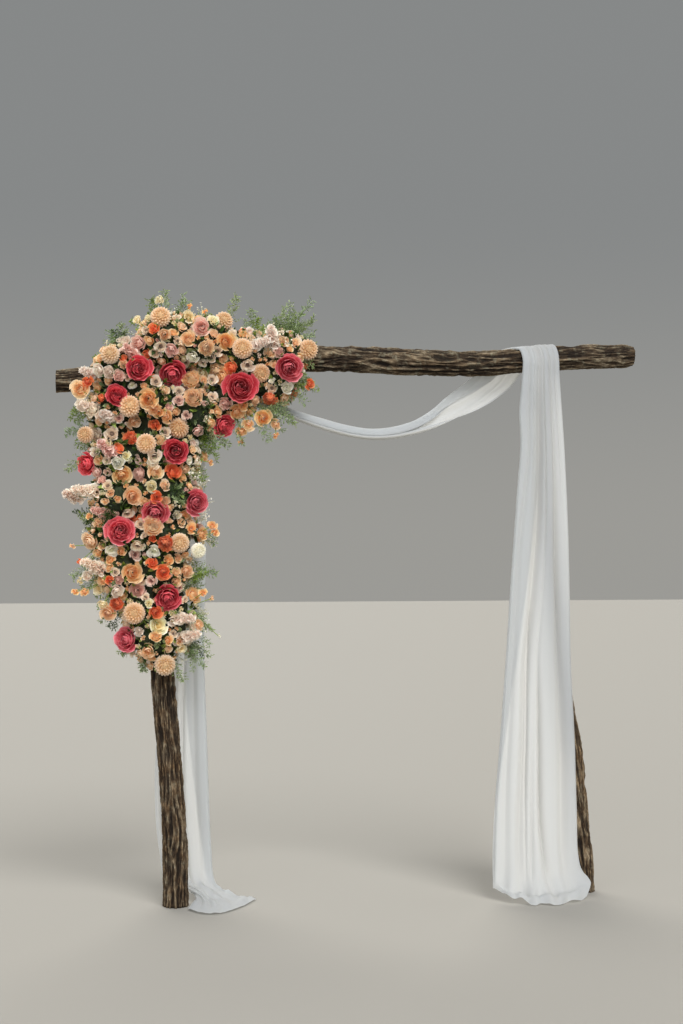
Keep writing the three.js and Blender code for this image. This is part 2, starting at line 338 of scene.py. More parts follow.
def makeBarkGroup():
    group, source, out = newGroup(
        "barkTone",
        [
            ("Relief", "NodeSocketFloat", 0.5),
            ("Plan", "NodeSocketVector", (0, 0, 0)),
            ("Warmth", "NodeSocketFloat", 0.3),
            ("Lichen", "NodeSocketFloat", 0.3),
        ],
        [("Color", "NodeSocketColor"), ("Height", "NodeSocketFloat")],
    )
    relief, plan = source.outputs["Relief"], source.outputs["Plan"]
    stretched = addNode(group, "Mapping", Vector=plan, Scale=(1.0, 0.22, 1.0)).outputs[0]  # fibres run along
    fibre = grain(group, stretched, scale=230.0, detail=9.0, roughness=0.75, distortion=0.4)
    flake = addNode(group, "TexVoronoi", {"feature": "DISTANCE_TO_EDGE"}, Vector=stretched, Scale=170.0)
    flakes = mapRange(group, flake.outputs["Distance"], fromMax=0.22)
    height = calculate(group, "MULTIPLY_ADD", relief, 0.74, -0.46)
    height = calculate(group, "MULTIPLY_ADD", flakes, 0.16, height)
    height = calculate(group, "ADD", fibre, height)
    # darker down in the furrows: partly the bark's colour and partly painted shade
    tone = colourRamp(group, height, bark["tones"])
    blotch = mapRange(group, grain(group, plan, scale=14.0, detail=4.0, roughness=0.6), 0.35, 0.7)
    warmth = calculate(group, "MULTIPLY", source.outputs["Warmth"], blotch)
    tone = mixColour(group, warmth, tone, bark["warmTint"], "MULTIPLY")
    crust = mapRange(group, grain(group, plan, scale=32.0, detail=5.0, roughness=0.75), 0.53, 0.62)
    crust = calculate(group, "MULTIPLY", crust, source.outputs["Lichen"])
    crust = calculate(group, "MULTIPLY", crust, relief)
    group.links.new(mixColour(group, crust, tone, bark["lichenTint"]), out.inputs["Color"])
    group.links.new(height, out.inputs["Height"])
    return group


def barkMaterial(name, group, warmth, lichen):
    material, tree, shader = newMaterial(name, 0.92)
    shader.inputs["Specular IOR Level"].default_value = 0.25
    tone = placeGroup(tree, group, Relief=meshValue(tree, "relief"), Plan=planPlace(tree), Warmth=warmth,
                      Lichen=lichen)
    tree.links.new(tone.outputs["Color"], shader.inputs["Base Color"])
    addBump(tree, shader, tone.outputs["Height"], strength=0.7, distance=0.003)
    return material


def sawnMaterial():  # dark heart, pale sapwood, growth rings and drying cracks on a cut end
    material, tree, shader = newMaterial("sawnWood", 0.85)
    plan = planPlace(tree)
    stain = grain(tree, plan, scale=38.0, detail=4.0)
    outward = addNode(tree, "VectorMath", {"operation": "LENGTH"}, Vector=plan).outputs["Value"]
    outward = calculate(tree, "MULTIPLY_ADD", stain, 0.03, outward)
    heart = mapRange(tree, outward, sawn["heartFrom"], sawn["heartTo"])
    parts = addNode(tree, "SeparateXYZ", Vector=plan)
    angle = calculate(tree, "ARCTAN2", parts.outputs["Y"], parts.outputs["X"])
    angle = calculate(tree, "MULTIPLY_ADD", stain, 1.6, angle)
    spokes = calculate(tree, "COSINE", calculate(tree, "MULTIPLY", angle, sawn["cracks"]))
    cracks = mapRange(tree, spokes, fromMin=0.955, toMin=1.0, toMax=sawn["crackTone"])
    rings = addNode(tree, "TexWave", {"wave_type": "RINGS", "rings_direction": "Z"},
                    Vector=plan, Scale=sawn["years"], Distortion=2.0, Detail=3.0)
    years = mapRange(tree, rings.outputs["Fac"], toMin=0.66, toMax=1.12)
    wear = calculate(tree, "MULTIPLY", cracks, years)
    tone = scaleColour(tree, colourRamp(tree, heart, sawn["tones"]), wear)
    tree.links.new(tone, shader.inputs["Base Color"])
    addBump(tree, shader, wear, strength=0.5, distance=0.001)
    return material


def measureLog(node, axis, stations):  # pith and radius of a CAD log, off its screw holes
    mesh = cadNodes[node].data
    tree = BVHTree.FromPolygons([v.co for v in mesh.vertices], [p.vertices for p in mesh.polygons])
    other = 2 if axis == 0 else 0
    aside = 0.03  # the screws stand within this of the pith
    outside = 6  # metres, from where the rays start
    centres, radii = [], []
    for place in stations:
        ends = []
        for sign in (-1, 1):
            start = Vector((0, aside, 0))
            start[axis] = place
            start[other] = outside * sign
            toward = Vector((0, 0, 0))
            toward[other] = -sign
            hit = tree.ray_cast(start, toward)[0]
            ends.append(hit[other] if hit else math.nan)
        centres.append((ends[0] + ends[1]) / 2)
        radii.append(math.hypot((ends[1] - ends[0]) / 2, aside))
    good = ~np.isnan(centres)
    stations = np.asarray(stations)
    return [np.interp(stations, stations[good], np.asarray(values)[good]) for values in (centres, radii)]


def barkRelief(u, s, seed):  # 0 in a furrow and 1 on a ridge; the ridges braid along the log
    bends = bark["wander"] * slopeNoise(u, s / bark["wanderLength"], 7, seed)
    bends = bends + bark["tremble"] * slopeNoise(u, s / bark["trembleLength"], 19, seed + 1)
    around = (u + bends) % 1.0
    plate = 1 - np.abs(slopeNoise(around, s / bark["plateLength"], bark["plates"], seed + 2)) * 1.9
    flake = 1 - np.abs(slopeNoise(around, s / bark["flakeLength"], bark["flakes"], seed + 3)) * 1.9
    fibre = slopeNoise(around, s / bark["fibreLength"], bark["fibres"], seed + 4)
    patch = slopeNoise(u, s / bark["patchLength"], bark["patches"], seed + 5)
    ridge = 0.46 * np.clip(plate, 0, 1) ** bark["sharp"] + 0.42 * np.clip(flake, 0, 1) ** bark["sharp"]
    relief = np.clip((ridge + 0.12 * fibre + 0.08 * patch - 0.07) / 0.80, 0, 1)
    return 0.25 * relief + 0.75 * smoothStep(relief)  # between an even slope and flat-topped plates


def makeLog(name, node, axis, low, high, seed, material, shape=None):
    around = bark["around"]
    other = 2 if axis == 0 else 0
    places = np.linspace(low, high, int((high - low) / bark["step"]) + 1)
    count = len(places)
    stations = np.linspace(low + bark["endMargin"], high - bark["endMargin"], bark["stations"])
    centre, radius = measureLog(node, axis, stations)
    radius = np.convolve(np.pad(radius, 1, mode="edge"), (0.25, 0.5, 0.25), mode="valid")
    centre, radius = np.interp(places, stations, centre), np.interp(places, stations, radius)
    uu, ss = np.meshgrid(np.arange(around) / around, places)
    relief = barkRelief(uu, ss, seed)
    bulge = bark["bulge"] * slopeNoise(uu, ss / bark["bulgeLength"], 4, seed + 9)
    reach = (radius[:, None] * (1 + bulge)) - bark["furrow"] * (1 - relief) + bark["proud"]
    if shape:
        reach = shape(ss, reach)
    angle = fullTurn * uu
    points = np.zeros((count, around, 3))
    points[..., axis] = ss
    points[..., 1] = reach * np.cos(angle) * (-1 if axis == 2 else 1)
    points[..., other] = centre[:, None] + reach * np.sin(angle)
    plan = np.stack([angle * bark["planRadius"], ss], axis=-1)
    rings, plans, reliefs = [points.reshape(-1, 3)], [plan.reshape(-1, 2)], [relief.ravel()]
    faces = gridFaces(count, around, closed=True).tolist()
    sides = len(faces)
    total = count * around

    def addFaces(*corners):  # the far end's faces run the other way round
        if row > 0:
            corners = (corners[0], *corners[:0:-1])
        faces.extend(np.stack(np.broadcast_arrays(*corners), axis=-1).tolist())

    for row in (0, count - 1):
        middle = points[row].mean(axis=0)
        before = row * around + np.arange(around)
        for share in (*sawn["rings"], 0):
            ring = (points[row] - middle) * share if share else np.zeros((1, 3))
            rings.append(middle + ring)
            plans.append(ring[:, [1, other]])
            reliefs.append(np.full(len(ring), sawn["relief"]))
            if share:
                now = total + np.arange(around)
                addFaces(before, now, np.roll(now, -1), np.roll(before, -1))
                before = now
            else:
                addFaces(before, total, np.roll(before, -1))
            total += len(ring)
    piece = buildMesh(
        name, np.concatenate(rings), faces, [material, sawnWood], floats={"relief": np.concatenate(reliefs)},
        plan=np.concatenate(plans), faceSlots=[0] * sides + [1] * (len(faces) - sides),
    )
    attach(piece, "root")
    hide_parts(node)
    return piece


sawnWood = sawnMaterial()
barkGroup = makeBarkGroup()
postBark = barkMaterial("postBark", barkGroup, warmth=0.85, lichen=0.25)
beamBark = barkMaterial("beamBark", barkGroup, warmth=0.45, lichen=0.5)
beamLow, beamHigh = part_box("cross_beam")


def beamEnd(s, reach):  # the right end's bark is rounded off over 5 cm, the left end is sawn square
    toEnd = np.clip((beamHigh.x - s) / 0.05, 0, 1)
    return reach * (1 - 0.2 * (1 - toEnd) ** 2)


makeLog("barkBeam", "cross_beam", 0, beamLow.x + 0.001, beamHigh.x - 0.001, 11, beamBark, beamEnd)
for side, seed in (("left", 23), ("right", 37)):
    low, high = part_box(f"{side}_post")
    makeLog(f"barkPost_{side}", f"{side}_post", 2, low.z, high.z + 0.004, seed, postBark)
print("bark logs made")


# Steel screws and wire ties
metals = {  # colour, roughness and how fine the crystals of the zinc are
    "zincPlated": ((0.60, 0.61, 0.63), 0.38, 260.0),
    "bindingWire": ((0.20, 0.24, 0.17), 0.5, 400.0),
}


def steelMaterial(name):
    colour, rough, fineness = metals[name]
    material, tree, shader = newMaterial(name, rough)
    shader.inputs["Metallic"].default_value = 1.0
    place = objectPlace(tree)
    crystals = addNode(tree, "TexVoronoi", Vector=place, Scale=fineness).outputs["Color"]
    dark = [c * 0.72 for c in colour]
    tree.links.new(mixColour(tree, crystals, (*dark, 1), (*colour, 1)), shader.inputs["Base Color"])
    dull = grain(tree, place, scale=60.0, detail=4.0)
    worn = mapRange(tree, dull, toMin=rough - 0.1, toMax=rough + 0.2)
    tree.links.new(worn, shader.inputs["Roughness"])
    addBump(tree, shader, dull, strength=0.2, distance=0.0003)
    return material


def dress(node, material):  # a CAD piece that stays, with a better material
    piece = cadNodes[node]
    for place in piece.material_slots:
        place.material = material


zinc = steelMaterial("zincPlated")
bindingWire = steelMaterial("bindingWire")
for side in ("left", "right"):
    dress(f"{side}_screw", zinc)
    dress(f"tie_beam_{side}", bindingWire)


# The cloth
cloth = {
    "width": 0.42,
    "columns": 150,
    "rows": 400,
    "swell": 0.26,  # how far the faces between folds wave
    "behind": 0.009,  # metres between the face and the part that is folded back
    "turnShare": 0.03,  # share of the face over which the cloth turns to go behind
    "hem": 0.022,  # half width of the two edges of the face, as a share of it
    "hemDip": 0.45,  # how far those edges curl away
    "smoothing": 12,  # rows over which the values below and the folds are smoothed
    "turned": (  # share folded back behind edge B, along the cloth
        (0, 0), (0.35, 0.14), (1.0, 0.30), (2.1, 0.36), (2.6, 0.36), (2.9, 0), (3.6, 0.12), (3.9, 0.36),
        (4.6, 0.32), (5.2, 0.20), (5.7, 0.07), (6.0, 0),
    ),
    "foldWander": 0.008,  # how far a fold strays across the face
    "foldWanderLength": 0.28,
    "rollThickness": 2.2,  # the rolled swag's, as a multiple of the depth that folds may have
    # the single cloth's blue-grey is painted cool shade
    "coolShadeThinTone": (0.49, 0.52, 0.555, 1),
    "warmDoubledShadeTone": (0.54, 0.52, 0.48, 1),  # where a fold lays the cloth double, and painted warm shade in the fold valleys and under the swag
    "glow": (0.88, 0.885, 0.86, 1),
    "through": 0.42,  # share of the light that comes through from behind
}
feet = {  # the cloth where it reaches the ground, mostly in metres
    "ruffleBelow": 0.20,  # height under which the right drape begins to ruffle
    "ruffleOver": 0.16,  # and how much lower it does so fully
    "ruffleOut": 0.022,
    "ruffleUp": 0.016,
    "heapBelow": 0.10,
    "heapOver": 0.08,
    "heap": 0.026,
    "crumple": 0.005,
    "flatEnd": 0.06,  # how much of the cloth's end lies flatter
    "flatShare": 0.25,  # than elsewhere, down to this share of the heap
    "least": 0.0035,  # height of the cloth where it lies on the floor
}
# Each fold at several places: metres along the cloth, place across it, half width, depth, and how sharp
# it is, from 0 for a soft valley to 1 for a crease
folds = [
    # the left panel, places counted from its left edge
    [(0.0, 0.16, 0.05, 0.2, 0), (0.5, 0.16, 0.05, 0.9, 0.3), (2.0, 0.16, 0.05, 0.9, 0.3),
     (2.5, 0.2, 0.05, 0.1, 0)],
    [(0.0, 0.33, 0.05, 0.2, 0), (0.5, 0.33, 0.045, 0.9, 0.3), (2.0, 0.34, 0.045, 0.9, 0.3),
     (2.5, 0.3, 0.05, 0.1, 0)],
    [(0.0, 0.5, 0.05, 0.2, 0), (0.4, 0.52, 0.04, 0.6, 0.6), (2.0, 0.53, 0.04, 0.6, 0.6),
     (2.5, 0.5, 0.04, 0, 0)],
    [(0.0, 0.74, 0.06, 0.2, 0), (0.5, 0.76, 0.07, 0.45, 0.1), (2.0, 0.72, 0.07, 0.45, 0.1),
     (2.5, 0.74, 0.05, 0, 0)],
    # the swag, places counted from its low edge
    [(3.0, 0.45, 0.06, 0, 0), (3.45, 0.5, 0.08, 0.5, 0.2), (3.7, 0.55, 0.08, 0.4, 0.2),
     (3.9, 0.55, 0.06, 0, 0)],
    [(3.2, 0.78, 0.04, 0, 0), (3.45, 0.76, 0.04, 0.3, 0.5), (3.7, 0.76, 0.04, 0.3, 0.3),
     (3.9, 0.76, 0.04, 0, 0)],
    # the right drape, places counted from its right edge
    [(3.8, 0.80, 0.04, 0, 0), (4.05, 0.80, 0.035, 0.45, 0.4), (4.6, 0.79, 0.04, 0.4, 0.2),
     (4.9, 0.88, 0.04, 0.35, 0), (5.5, 0.90, 0.05, 0.25, 0), (5.95, 0.89, 0.04, 0.35, 0.2),
     (6.44, 0.86, 0.05, 0.2, 0)],
    [(3.8, 0.55, 0.06, 0, 0), (4.05, 0.55, 0.06, 0.6, 0.2), (4.6, 0.56, 0.075, 1.0, 0.1),
     (4.9, 0.58, 0.075, 1.0, 0.1), (5.15, 0.634, 0.065, 0.9, 0.2), (5.5, 0.71, 0.055, 0.8, 0.3),
     (5.95, 0.70, 0.05, 0.75, 0.4), (6.2, 0.71, 0.05, 0.6, 0.3), (6.44, 0.71, 0.06, 0.3, 0.1)],
    [(3.8, 0.44, 0.03, 0, 0), (4.05, 0.45, 0.03, 0.4, 0.5), (4.4, 0.435, 0.022, 0.5, 0.9),
     (4.85, 0.41, 0.02, 0.5, 1), (5.1, 0.43, 0.03, 0.15, 0.3), (5.4, 0.53, 0.03, 0.25, 0.5),
     (5.7, 0.49, 0.035, 0.8, 1), (6.1, 0.47, 0.04, 0.95, 1), (6.3, 0.42, 0.05, 0.7, 0.8),
     (6.44, 0.38, 0.06, 0.4, 0.3)],
    [(5.0, 0.66, 0.02, 0, 1), (5.4, 0.665, 0.022, 0.35, 1), (5.95, 0.655, 0.022, 0.4, 1),
     (6.2, 0.64, 0.02, 0.35, 0.8), (6.44, 0.62, 0.03, 0.1, 0.3)],
    [(3.8, 0.3, 0.03, 0, 0), (4.05, 0.3, 0.03, 0.4, 0.4), (4.6, 0.25, 0.035, 0.5, 0.3),
     (4.9, 0.25, 0.04, 0.8, 0.4), (5.2, 0.228, 0.04, 0.9, 0.6), (5.5, 0.2, 0.06, 0.6, 0.2),
     (5.75, 0.185, 0.07, 0.7, 0), (6.2, 0.2, 0.06, 0.5, 0), (6.44, 0.2, 0.06, 0.2, 0)],
    [(3.9, 0.15, 0.025, 0, 0), (4.1, 0.15, 0.025, 0.35, 0.5), (4.6, 0.12, 0.03, 0.3, 0.3),
     (5.0, 0.10, 0.03, 0, 0)],
    [(3.9, 0.69, 0.025, 0, 0), (4.1, 0.69, 0.025, 0.35, 0.5), (4.6, 0.67, 0.03, 0.3, 0.2),
     (5.0, 0.70, 0.03, 0, 0)],
    [(5.6, 0.57, 0.03, 0, 0), (5.95, 0.57, 0.03, 0.35, 0.6), (6.2, 0.56, 0.03, 0.5, 0.9),
     (6.44, 0.58, 0.04, 0.2, 0.3)],
]
beamPlaces = np.linspace(beamLow.x + 0.02, beamHigh.x - 0.02, 60)
beamCentre, beamRadius = measureLog("cross_beam", 0, beamPlaces)


def roundBeam(xA, xB, degrees, lift, depth, roll):  # 0 degrees at the front and 90 on top
    turn = math.radians(degrees)
    row = []
    for x in (xA, (xA + xB) / 2, xB):
        centre = np.interp(x, beamPlaces, beamCentre)
        reach = np.interp(x, beamPlaces, beamRadius) + lift
        row += [x, -reach * math.cos(turn), centre + reach * math.sin(turn)]
    return row + [depth, roll]


def swagRow(xLow, zLow, xHigh, zHigh, y, depth, roll):
    middle = [(xLow + xHigh) / 2, y, (zLow + zHigh) / 2]
    return [xLow, y, zLow, *middle, xHigh, y, zHigh, depth, roll]


# Each row: edge A, middle and edge B, then the depth that folds may have, and how far the cloth is rolled in
# on itself
route = [
    [0.048, -0.090, 0.010, 0.170, -0.162, 0.006, 0.328, 0.040, 0.006, 0.004, 0],
    [0.078, -0.012, 0.018, 0.172, -0.100, 0.016, 0.295, 0.060, 0.010, 0.010, 0],
    [0.050, 0.070, 0.030, 0.130, -0.010, 0.040, 0.232, 0.080, 0.020, 0.018, 0],
    [-0.035, 0.088, 0.070, 0.065, 0.060, 0.080, 0.172, 0.086, 0.066, 0.022, 0],
    [-0.060, 0.088, 0.200, 0.044, 0.090, 0.210, 0.150, 0.088, 0.200, 0.024, 0],
    [-0.078, 0.087, 0.440, 0.030, 0.092, 0.440, 0.138, 0.087, 0.440, 0.026, 0],
    [-0.072, 0.086, 0.660, 0.028, 0.092, 0.660, 0.130, 0.086, 0.660, 0.026, 0],
    [-0.052, 0.084, 1.000, 0.032, 0.088, 1.000, 0.118, 0.084, 1.000, 0.026, 0],
    [-0.060, 0.082, 1.500, 0.030, 0.086, 1.500, 0.126, 0.082, 1.500, 0.026, 0],
    [-0.040, 0.080, 1.800, 0.040, 0.082, 1.800, 0.122, 0.080, 1.800, 0.024, 0],
    [0.010, 0.074, 2.020, 0.080, 0.074, 2.020, 0.148, 0.074, 2.020, 0.018, 0],
    roundBeam(0.035, 0.175, 170, 0.011, 0.008, 0),
    roundBeam(0.040, 0.180, 110, 0.009, 0.007, 0),
    roundBeam(0.045, 0.185, 50, 0.009, 0.007, 0),
    roundBeam(0.060, 0.185, -10, 0.010, 0.008, 0),
    [0.105, -0.040, 2.056, 0.150, -0.049, 2.071, 0.190, -0.044, 2.088, 0.012, 0.3],
    swagRow(0.205, 2.020, 0.215, 2.066, -0.018, 0.018, 0.7),
    swagRow(0.330, 1.984, 0.335, 2.026, -0.004, 0.018, 1),
    swagRow(0.458, 1.946, 0.466, 1.987, 0.004, 0.018, 1),
    swagRow(0.522, 1.923, 0.530, 1.966, 0.008, 0.018, 1),
    swagRow(0.598, 1.899, 0.602, 1.947, 0.012, 0.018, 1),
    swagRow(0.656, 1.883, 0.658, 1.932, 0.014, 0.018, 1),
    swagRow(0.718, 1.870, 0.716, 1.920, 0.018, 0.018, 1),
    swagRow(0.802, 1.862, 0.788, 1.911, 0.022, 0.018, 1),
    swagRow(0.890, 1.867, 0.852, 1.915, 0.027, 0.018, 0.9),
    swagRow(0.985, 1.886, 0.914, 1.931, 0.033, 0.018, 0.75),
    swagRow(1.065, 1.908, 0.972, 1.958, 0.039, 0.018, 0.6),
    swagRow(1.135, 1.934, 1.027, 1.989, 0.045, 0.017, 0.45),
    swagRow(1.205, 1.965, 1.080, 2.025, 0.051, 0.016, 0.3),
    swagRow(1.275, 2.003, 1.135, 2.063, 0.057, 0.015, 0.17),
    swagRow(1.340, 2.047, 1.186, 2.100, 0.064, 0.013, 0.08),
    swagRow(1.400, 2.097, 1.228, 2.134, 0.070, 0.011, 0.02),
    roundBeam(1.475, 1.262, 176, 0.012, 0.009, 0),
    roundBeam(1.546, 1.326, 118, 0.009, 0.008, 0),
    roundBeam(1.563, 1.402, 66, 0.009, 0.009, 0),
    roundBeam(1.566, 1.412, 12, 0.016, 0.012, 0),
    [1.569, -0.082, 2.120, 1.486, -0.088, 2.120, 1.405, -0.082, 2.120, 0.015, 0],
    [1.579, -0.084, 1.960, 1.486, -0.092, 1.960, 1.392, -0.084, 1.960, 0.016, 0],
    [1.584, -0.085, 1.880, 1.488, -0.094, 1.880, 1.396, -0.085, 1.880, 0.017, 0],
    [1.595, -0.086, 1.640, 1.486, -0.096, 1.640, 1.380, -0.086, 1.640, 0.019, 0],
    [1.605, -0.088, 1.280, 1.476, -0.100, 1.280, 1.352, -0.090, 1.280, 0.022, 0],
    [1.611, -0.090, 0.962, 1.468, -0.104, 0.962, 1.330, -0.094, 0.962, 0.026, 0],
    [1.627, -0.094, 0.620, 1.462, -0.112, 0.620, 1.302, -0.100, 0.620, 0.030, 0],
    [1.632, -0.098, 0.360, 1.456, -0.122, 0.360, 1.278, -0.108, 0.360, 0.034, 0],
    [1.638, -0.106, 0.160, 1.452, -0.140, 0.150, 1.267, -0.116, 0.160, 0.036, 0],
    [1.652, -0.112, 0.100, 1.450, -0.156, 0.060, 1.266, -0.119, 0.095, 0.032, 0],
    [1.676, -0.130, 0.064, 1.448, -0.180, 0.014, 1.267, -0.121, 0.068, 0.020, 0],
    [1.668, -0.148, 0.042, 1.446, -0.203, 0.034, 1.268, -0.123, 0.058, 0.016, 0],
    [1.648, -0.168, 0.012, 1.444, -0.228, 0.006, 1.270, -0.125, 0.048, 0.012, 0],
]
# The rolled swag's section as shares of its height and thickness, from one hem to the other
rollSection = [
    (0.02, -0.10), (-0.10, 0.10), (-0.16, 0.30), (-0.27, 0.49), (-0.43, 0.40), (-0.50, 0.05),
    (-0.42, -0.35), (-0.15, -0.50), (0.20, -0.50), (0.44, -0.34), (0.50, -0.10), (0.40, 0.10), (0.18, 0.26),
    (-0.02, 0.36), (-0.15, 0.36), (-0.20, 0.22), (-0.08, 0.02), (0.12, -0.14), (0.32, -0.22), (0.34, -0.08),
    (0.14, 0.06), (-0.08, -0.16), (-0.30, -0.22), (-0.30, 0.06), (-0.12, 0.20),
]


def smoothRows(rows, count):  # evenly spaced rows on a smooth line through the given ones
    rows = np.asarray(rows, dtype=float)
    gaps = np.linalg.norm(np.diff(rows[:, 3:6], axis=0), axis=1)
    known = np.concatenate([[0], np.cumsum(gaps)])
    wanted = np.linspace(0, known[-1], count)
    slopes = np.gradient(rows, known, axis=0)
    index = np.clip(np.searchsorted(known, wanted, side="right") - 1, 0, len(rows) - 2)
    span = (known[index + 1] - known[index])[:, None]
    t = ((wanted - known[index]) / span[:, 0])[:, None]
    a, b = rows[index], rows[index + 1]
    m, n = slopes[index] * span, slopes[index + 1] * span
    t2, t3 = t * t, t * t * t
    return (2 * t3 - 3 * t2 + 1) * a + (t3 - 2 * t2 + t) * m + (3 * t2 - 2 * t3) * b + (t3 - t2) * n, wanted


def smoothAlong(values, reach):
    window = np.hanning(2 * reach + 1)
    return np.convolve(np.pad(values, reach, mode="edge"), window / window.sum(), mode="valid")


def ripples(across, along, length, cells, seed):  # waves of this length along the cloth, so many across it
    return slopeNoise(across * 0.999, along / length, cells, seed)


def foldShape(across, along):  # how far the folds dip below the face, and how much painted shade their valleys get
    out, creaseShade = 0.0, 0.0
    for k, fold in enumerate(folds):
        at, *tracks = zip(*fold)
        smoothed = [smoothAlong(np.interp(along, at, track), cloth["smoothing"]) for track in tracks]
        place, wide, deep, crease = (track[:, None] for track in smoothed)
        stray = slopeNoise(0.13 * k, along / cloth["foldWanderLength"], 3, 40 + k)
        place = place + cloth["foldWander"] * stray[:, None]
        far = np.abs(across - place) / wide
        dip = (1 - crease) * np.exp(-far * far) + crease * np.exp(-1.6 * far)
        out = out - deep * dip
        # painted shade along each fold's valley
        creaseShade = creaseShade + deep * np.exp(-((far / 1.25) ** 2))
    return out, np.clip(creaseShade, 0, 1)


def openCloth(rows, along, uu, ss):  # the face with its folds, and the spare width folded back behind it
    turned = smoothAlong(np.interp(along, *zip(*cloth["turned"])), cloth["smoothing"])[:, None]
    past = np.clip(uu - (1 - turned), 0, 1) / (1 - turned)
    across = np.minimum(uu / (1 - turned), 1) - past
    back = cloth["behind"] * smoothStep(np.clip(past / cloth["turnShare"], 0, 1))
    out, creaseShade = foldShape(across, along)
    a, m, b = rows[:, None, 0:3], rows[:, None, 3:6], rows[:, None, 6:9]
    t = across[..., None]
    face = (1 - t) * (1 - 2 * t) * a + 4 * t * (1 - t) * m + t * (2 * t - 1) * b
    side = unit((4 * t - 3) * a + (4 - 8 * t) * m + (4 * t - 1) * b)
    normal = unit(np.cross(side, np.gradient(face, along, axis=0)))
    edges = np.exp(-((across / cloth["hem"]) ** 2)) + np.exp(-(((1 - across) / cloth["hem"]) ** 2))
    swell = ripples(across, ss, 0.9, 3, 51) + 0.4 * ripples(across, ss, 0.4, 6, 52)
    out = out + cloth["swell"] * swell - cloth["hemDip"] * edges

    def folded(depth):
        return face + normal * (depth[:, None] * out - back)[..., None]

    low, high = np.zeros(len(rows)), np.abs(rows[:, 9])
    for _ in range(14):  # narrows down how deep the folds have to be for the cloth's width
        depth = (low + high) / 2
        arc = np.linalg.norm(np.diff(folded(depth), axis=1), axis=2).sum(axis=1)
        low, high = np.where(arc < cloth["width"], depth, low), np.where(arc < cloth["width"], high, depth)
    return folded(smoothAlong(depth, 9)), across, normal, creaseShade


def rolledCloth(rows, uu, ss, normal):  # the swag, rolled in on itself, and its low edge, which lies double and gets the painted shade of its underside
    knots = np.linspace(0, 1, len(rollSection))
    section = np.asarray(rollSection)
    fine = np.linspace(0, 1, 400)
    curve = np.stack([smoothAlong(np.interp(fine, knots, section[:, k]), 14) for k in (0, 1)], axis=1)
    walked = np.concatenate([[0], np.cumsum(np.linalg.norm(np.diff(curve, axis=0), axis=1))])
    walked = walked / walked[-1]
    up, front = (np.interp(uu[0], walked, curve[:, k])[None, :, None] for k in (0, 1))
    a, b = rows[:, None, 0:3], rows[:, None, 6:9]
    height = np.linalg.norm(b - a, axis=2, keepdims=True)
    thickness = cloth["rollThickness"] * np.abs(rows[:, 9])[:, None, None]
    outward = -unit(normal.mean(axis=1, keepdims=True))
    ripple = 0.0010 * ripples(uu, ss, 0.5, 14, 81) + 0.0004 * ripples(uu, ss, 0.2, 29, 82)
    points = (a + b) / 2 + unit(b - a) * height * up + outward * (thickness * front)
    low = np.interp(uu[0], walked, np.exp(-(((curve[:, 0] + 0.42) / 0.16) ** 4)))[None, :]
    return points + outward * ripple[..., None], low


def settleFeet(points, across, uu, ss, length):  # ruffles the cloth near the ground and heaps its ends
    low = np.clip((feet["ruffleBelow"] - points[..., 2]) / feet["ruffleOver"], 0, 1) ** 2 * (ss > length / 2)
    points[..., 1] += feet["ruffleOut"] * low * ripples(across, ss, 0.22, 8, 93)
    points[..., 2] += feet["ruffleUp"] * low * ripples(across, ss, 0.10, 9, 94)
    nearFloor = np.clip((feet["heapBelow"] - points[..., 2]) / feet["heapOver"], 0, 1)
    heap = feet["heap"] * np.abs(ripples(uu, ss, 0.08, 6, 91))
    heap = heap + feet["crumple"] * np.abs(ripples(uu, ss, 0.04, 11, 92))
    fromEnd = np.clip(np.minimum(ss, length - ss) / feet["flatEnd"], feet["flatShare"], 1)
    points[..., 2] = np.maximum(points[..., 2], feet["least"]) + nearFloor * heap * fromEnd


def makeCloth():
    rows, along = smoothRows(route, cloth["rows"])
    uu, ss = np.meshgrid(np.linspace(0, 1, cloth["columns"]), along)
    points, across, normal, creaseShade = openCloth(rows, along, uu, ss)
    rolled, low = rolledCloth(rows, uu, ss, normal)
    roll = smoothStep(np.clip(rows[:, 10], 0, 1))[:, None]
    points = points + (rolled - points) * roll[..., None]
    settleFeet(points, across, uu, ss, along[-1])
    # share of the warm tone: the doubled cloth, with painted shade under the swag's low edge and in the fold
    # valleys
    doubledAndShaded = low * roll + 0.6 * creaseShade * (1 - roll)
    plan = np.stack([uu * cloth["width"], ss], axis=-1)
    piece = buildMesh(
        "chiffonDrape", points.reshape(-1, 3), gridFaces(cloth["rows"], cloth["columns"]), [chiffon],
        plan=plan.reshape(-1, 2), floats={"doubledAndShaded": doubledAndShaded.ravel()},
    )
    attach(piece, "root")
    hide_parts(*[n for n in cadNodes if n.startswith("drape_")])


def chiffonMaterial():
    material, tree, shader = newMaterial("chiffon", 0.75)
    shader.inputs["Sheen Weight"].default_value = 0.25
    shader.inputs["Specular IOR Level"].default_value = 0.2
    plan = planPlace(tree)
    uneven = mapRange(tree, grain(tree, plan, scale=9.0, detail=2.0), toMin=0.55, toMax=1.05)
    # the warm tone is doubled cloth, plus painted shade in the folds and under the swag
    share = calculate(tree, "MULTIPLY", meshValue(tree, "doubledAndShaded"), uneven)
    # mixes the single cloth's blue-grey painted cool shade with the warm tone
    tone = mixColour(tree, share, cloth["coolShadeThinTone"], cloth["warmDoubledShadeTone"])
    tree.links.new(tone, shader.inputs["Base Color"])
    addBump(tree, shader, grain(tree, plan, scale=700.0, detail=2.0), strength=0.08, distance=0.0004)
    letThrough(tree, shader, cloth["glow"], cloth["through"])
    return material


chiffon = chiffonMaterial()
makeCloth()
print("cloth made")


# Flower and leaf shapes, each of radius or length 1
goldenTurn = 2.39996  # the angle between one petal and the next, in radians


def shade(red, green, blue):  # screen colour to a linear one
    return np.array([red, green, blue]) ** 2.2 / 255 ** 2.2


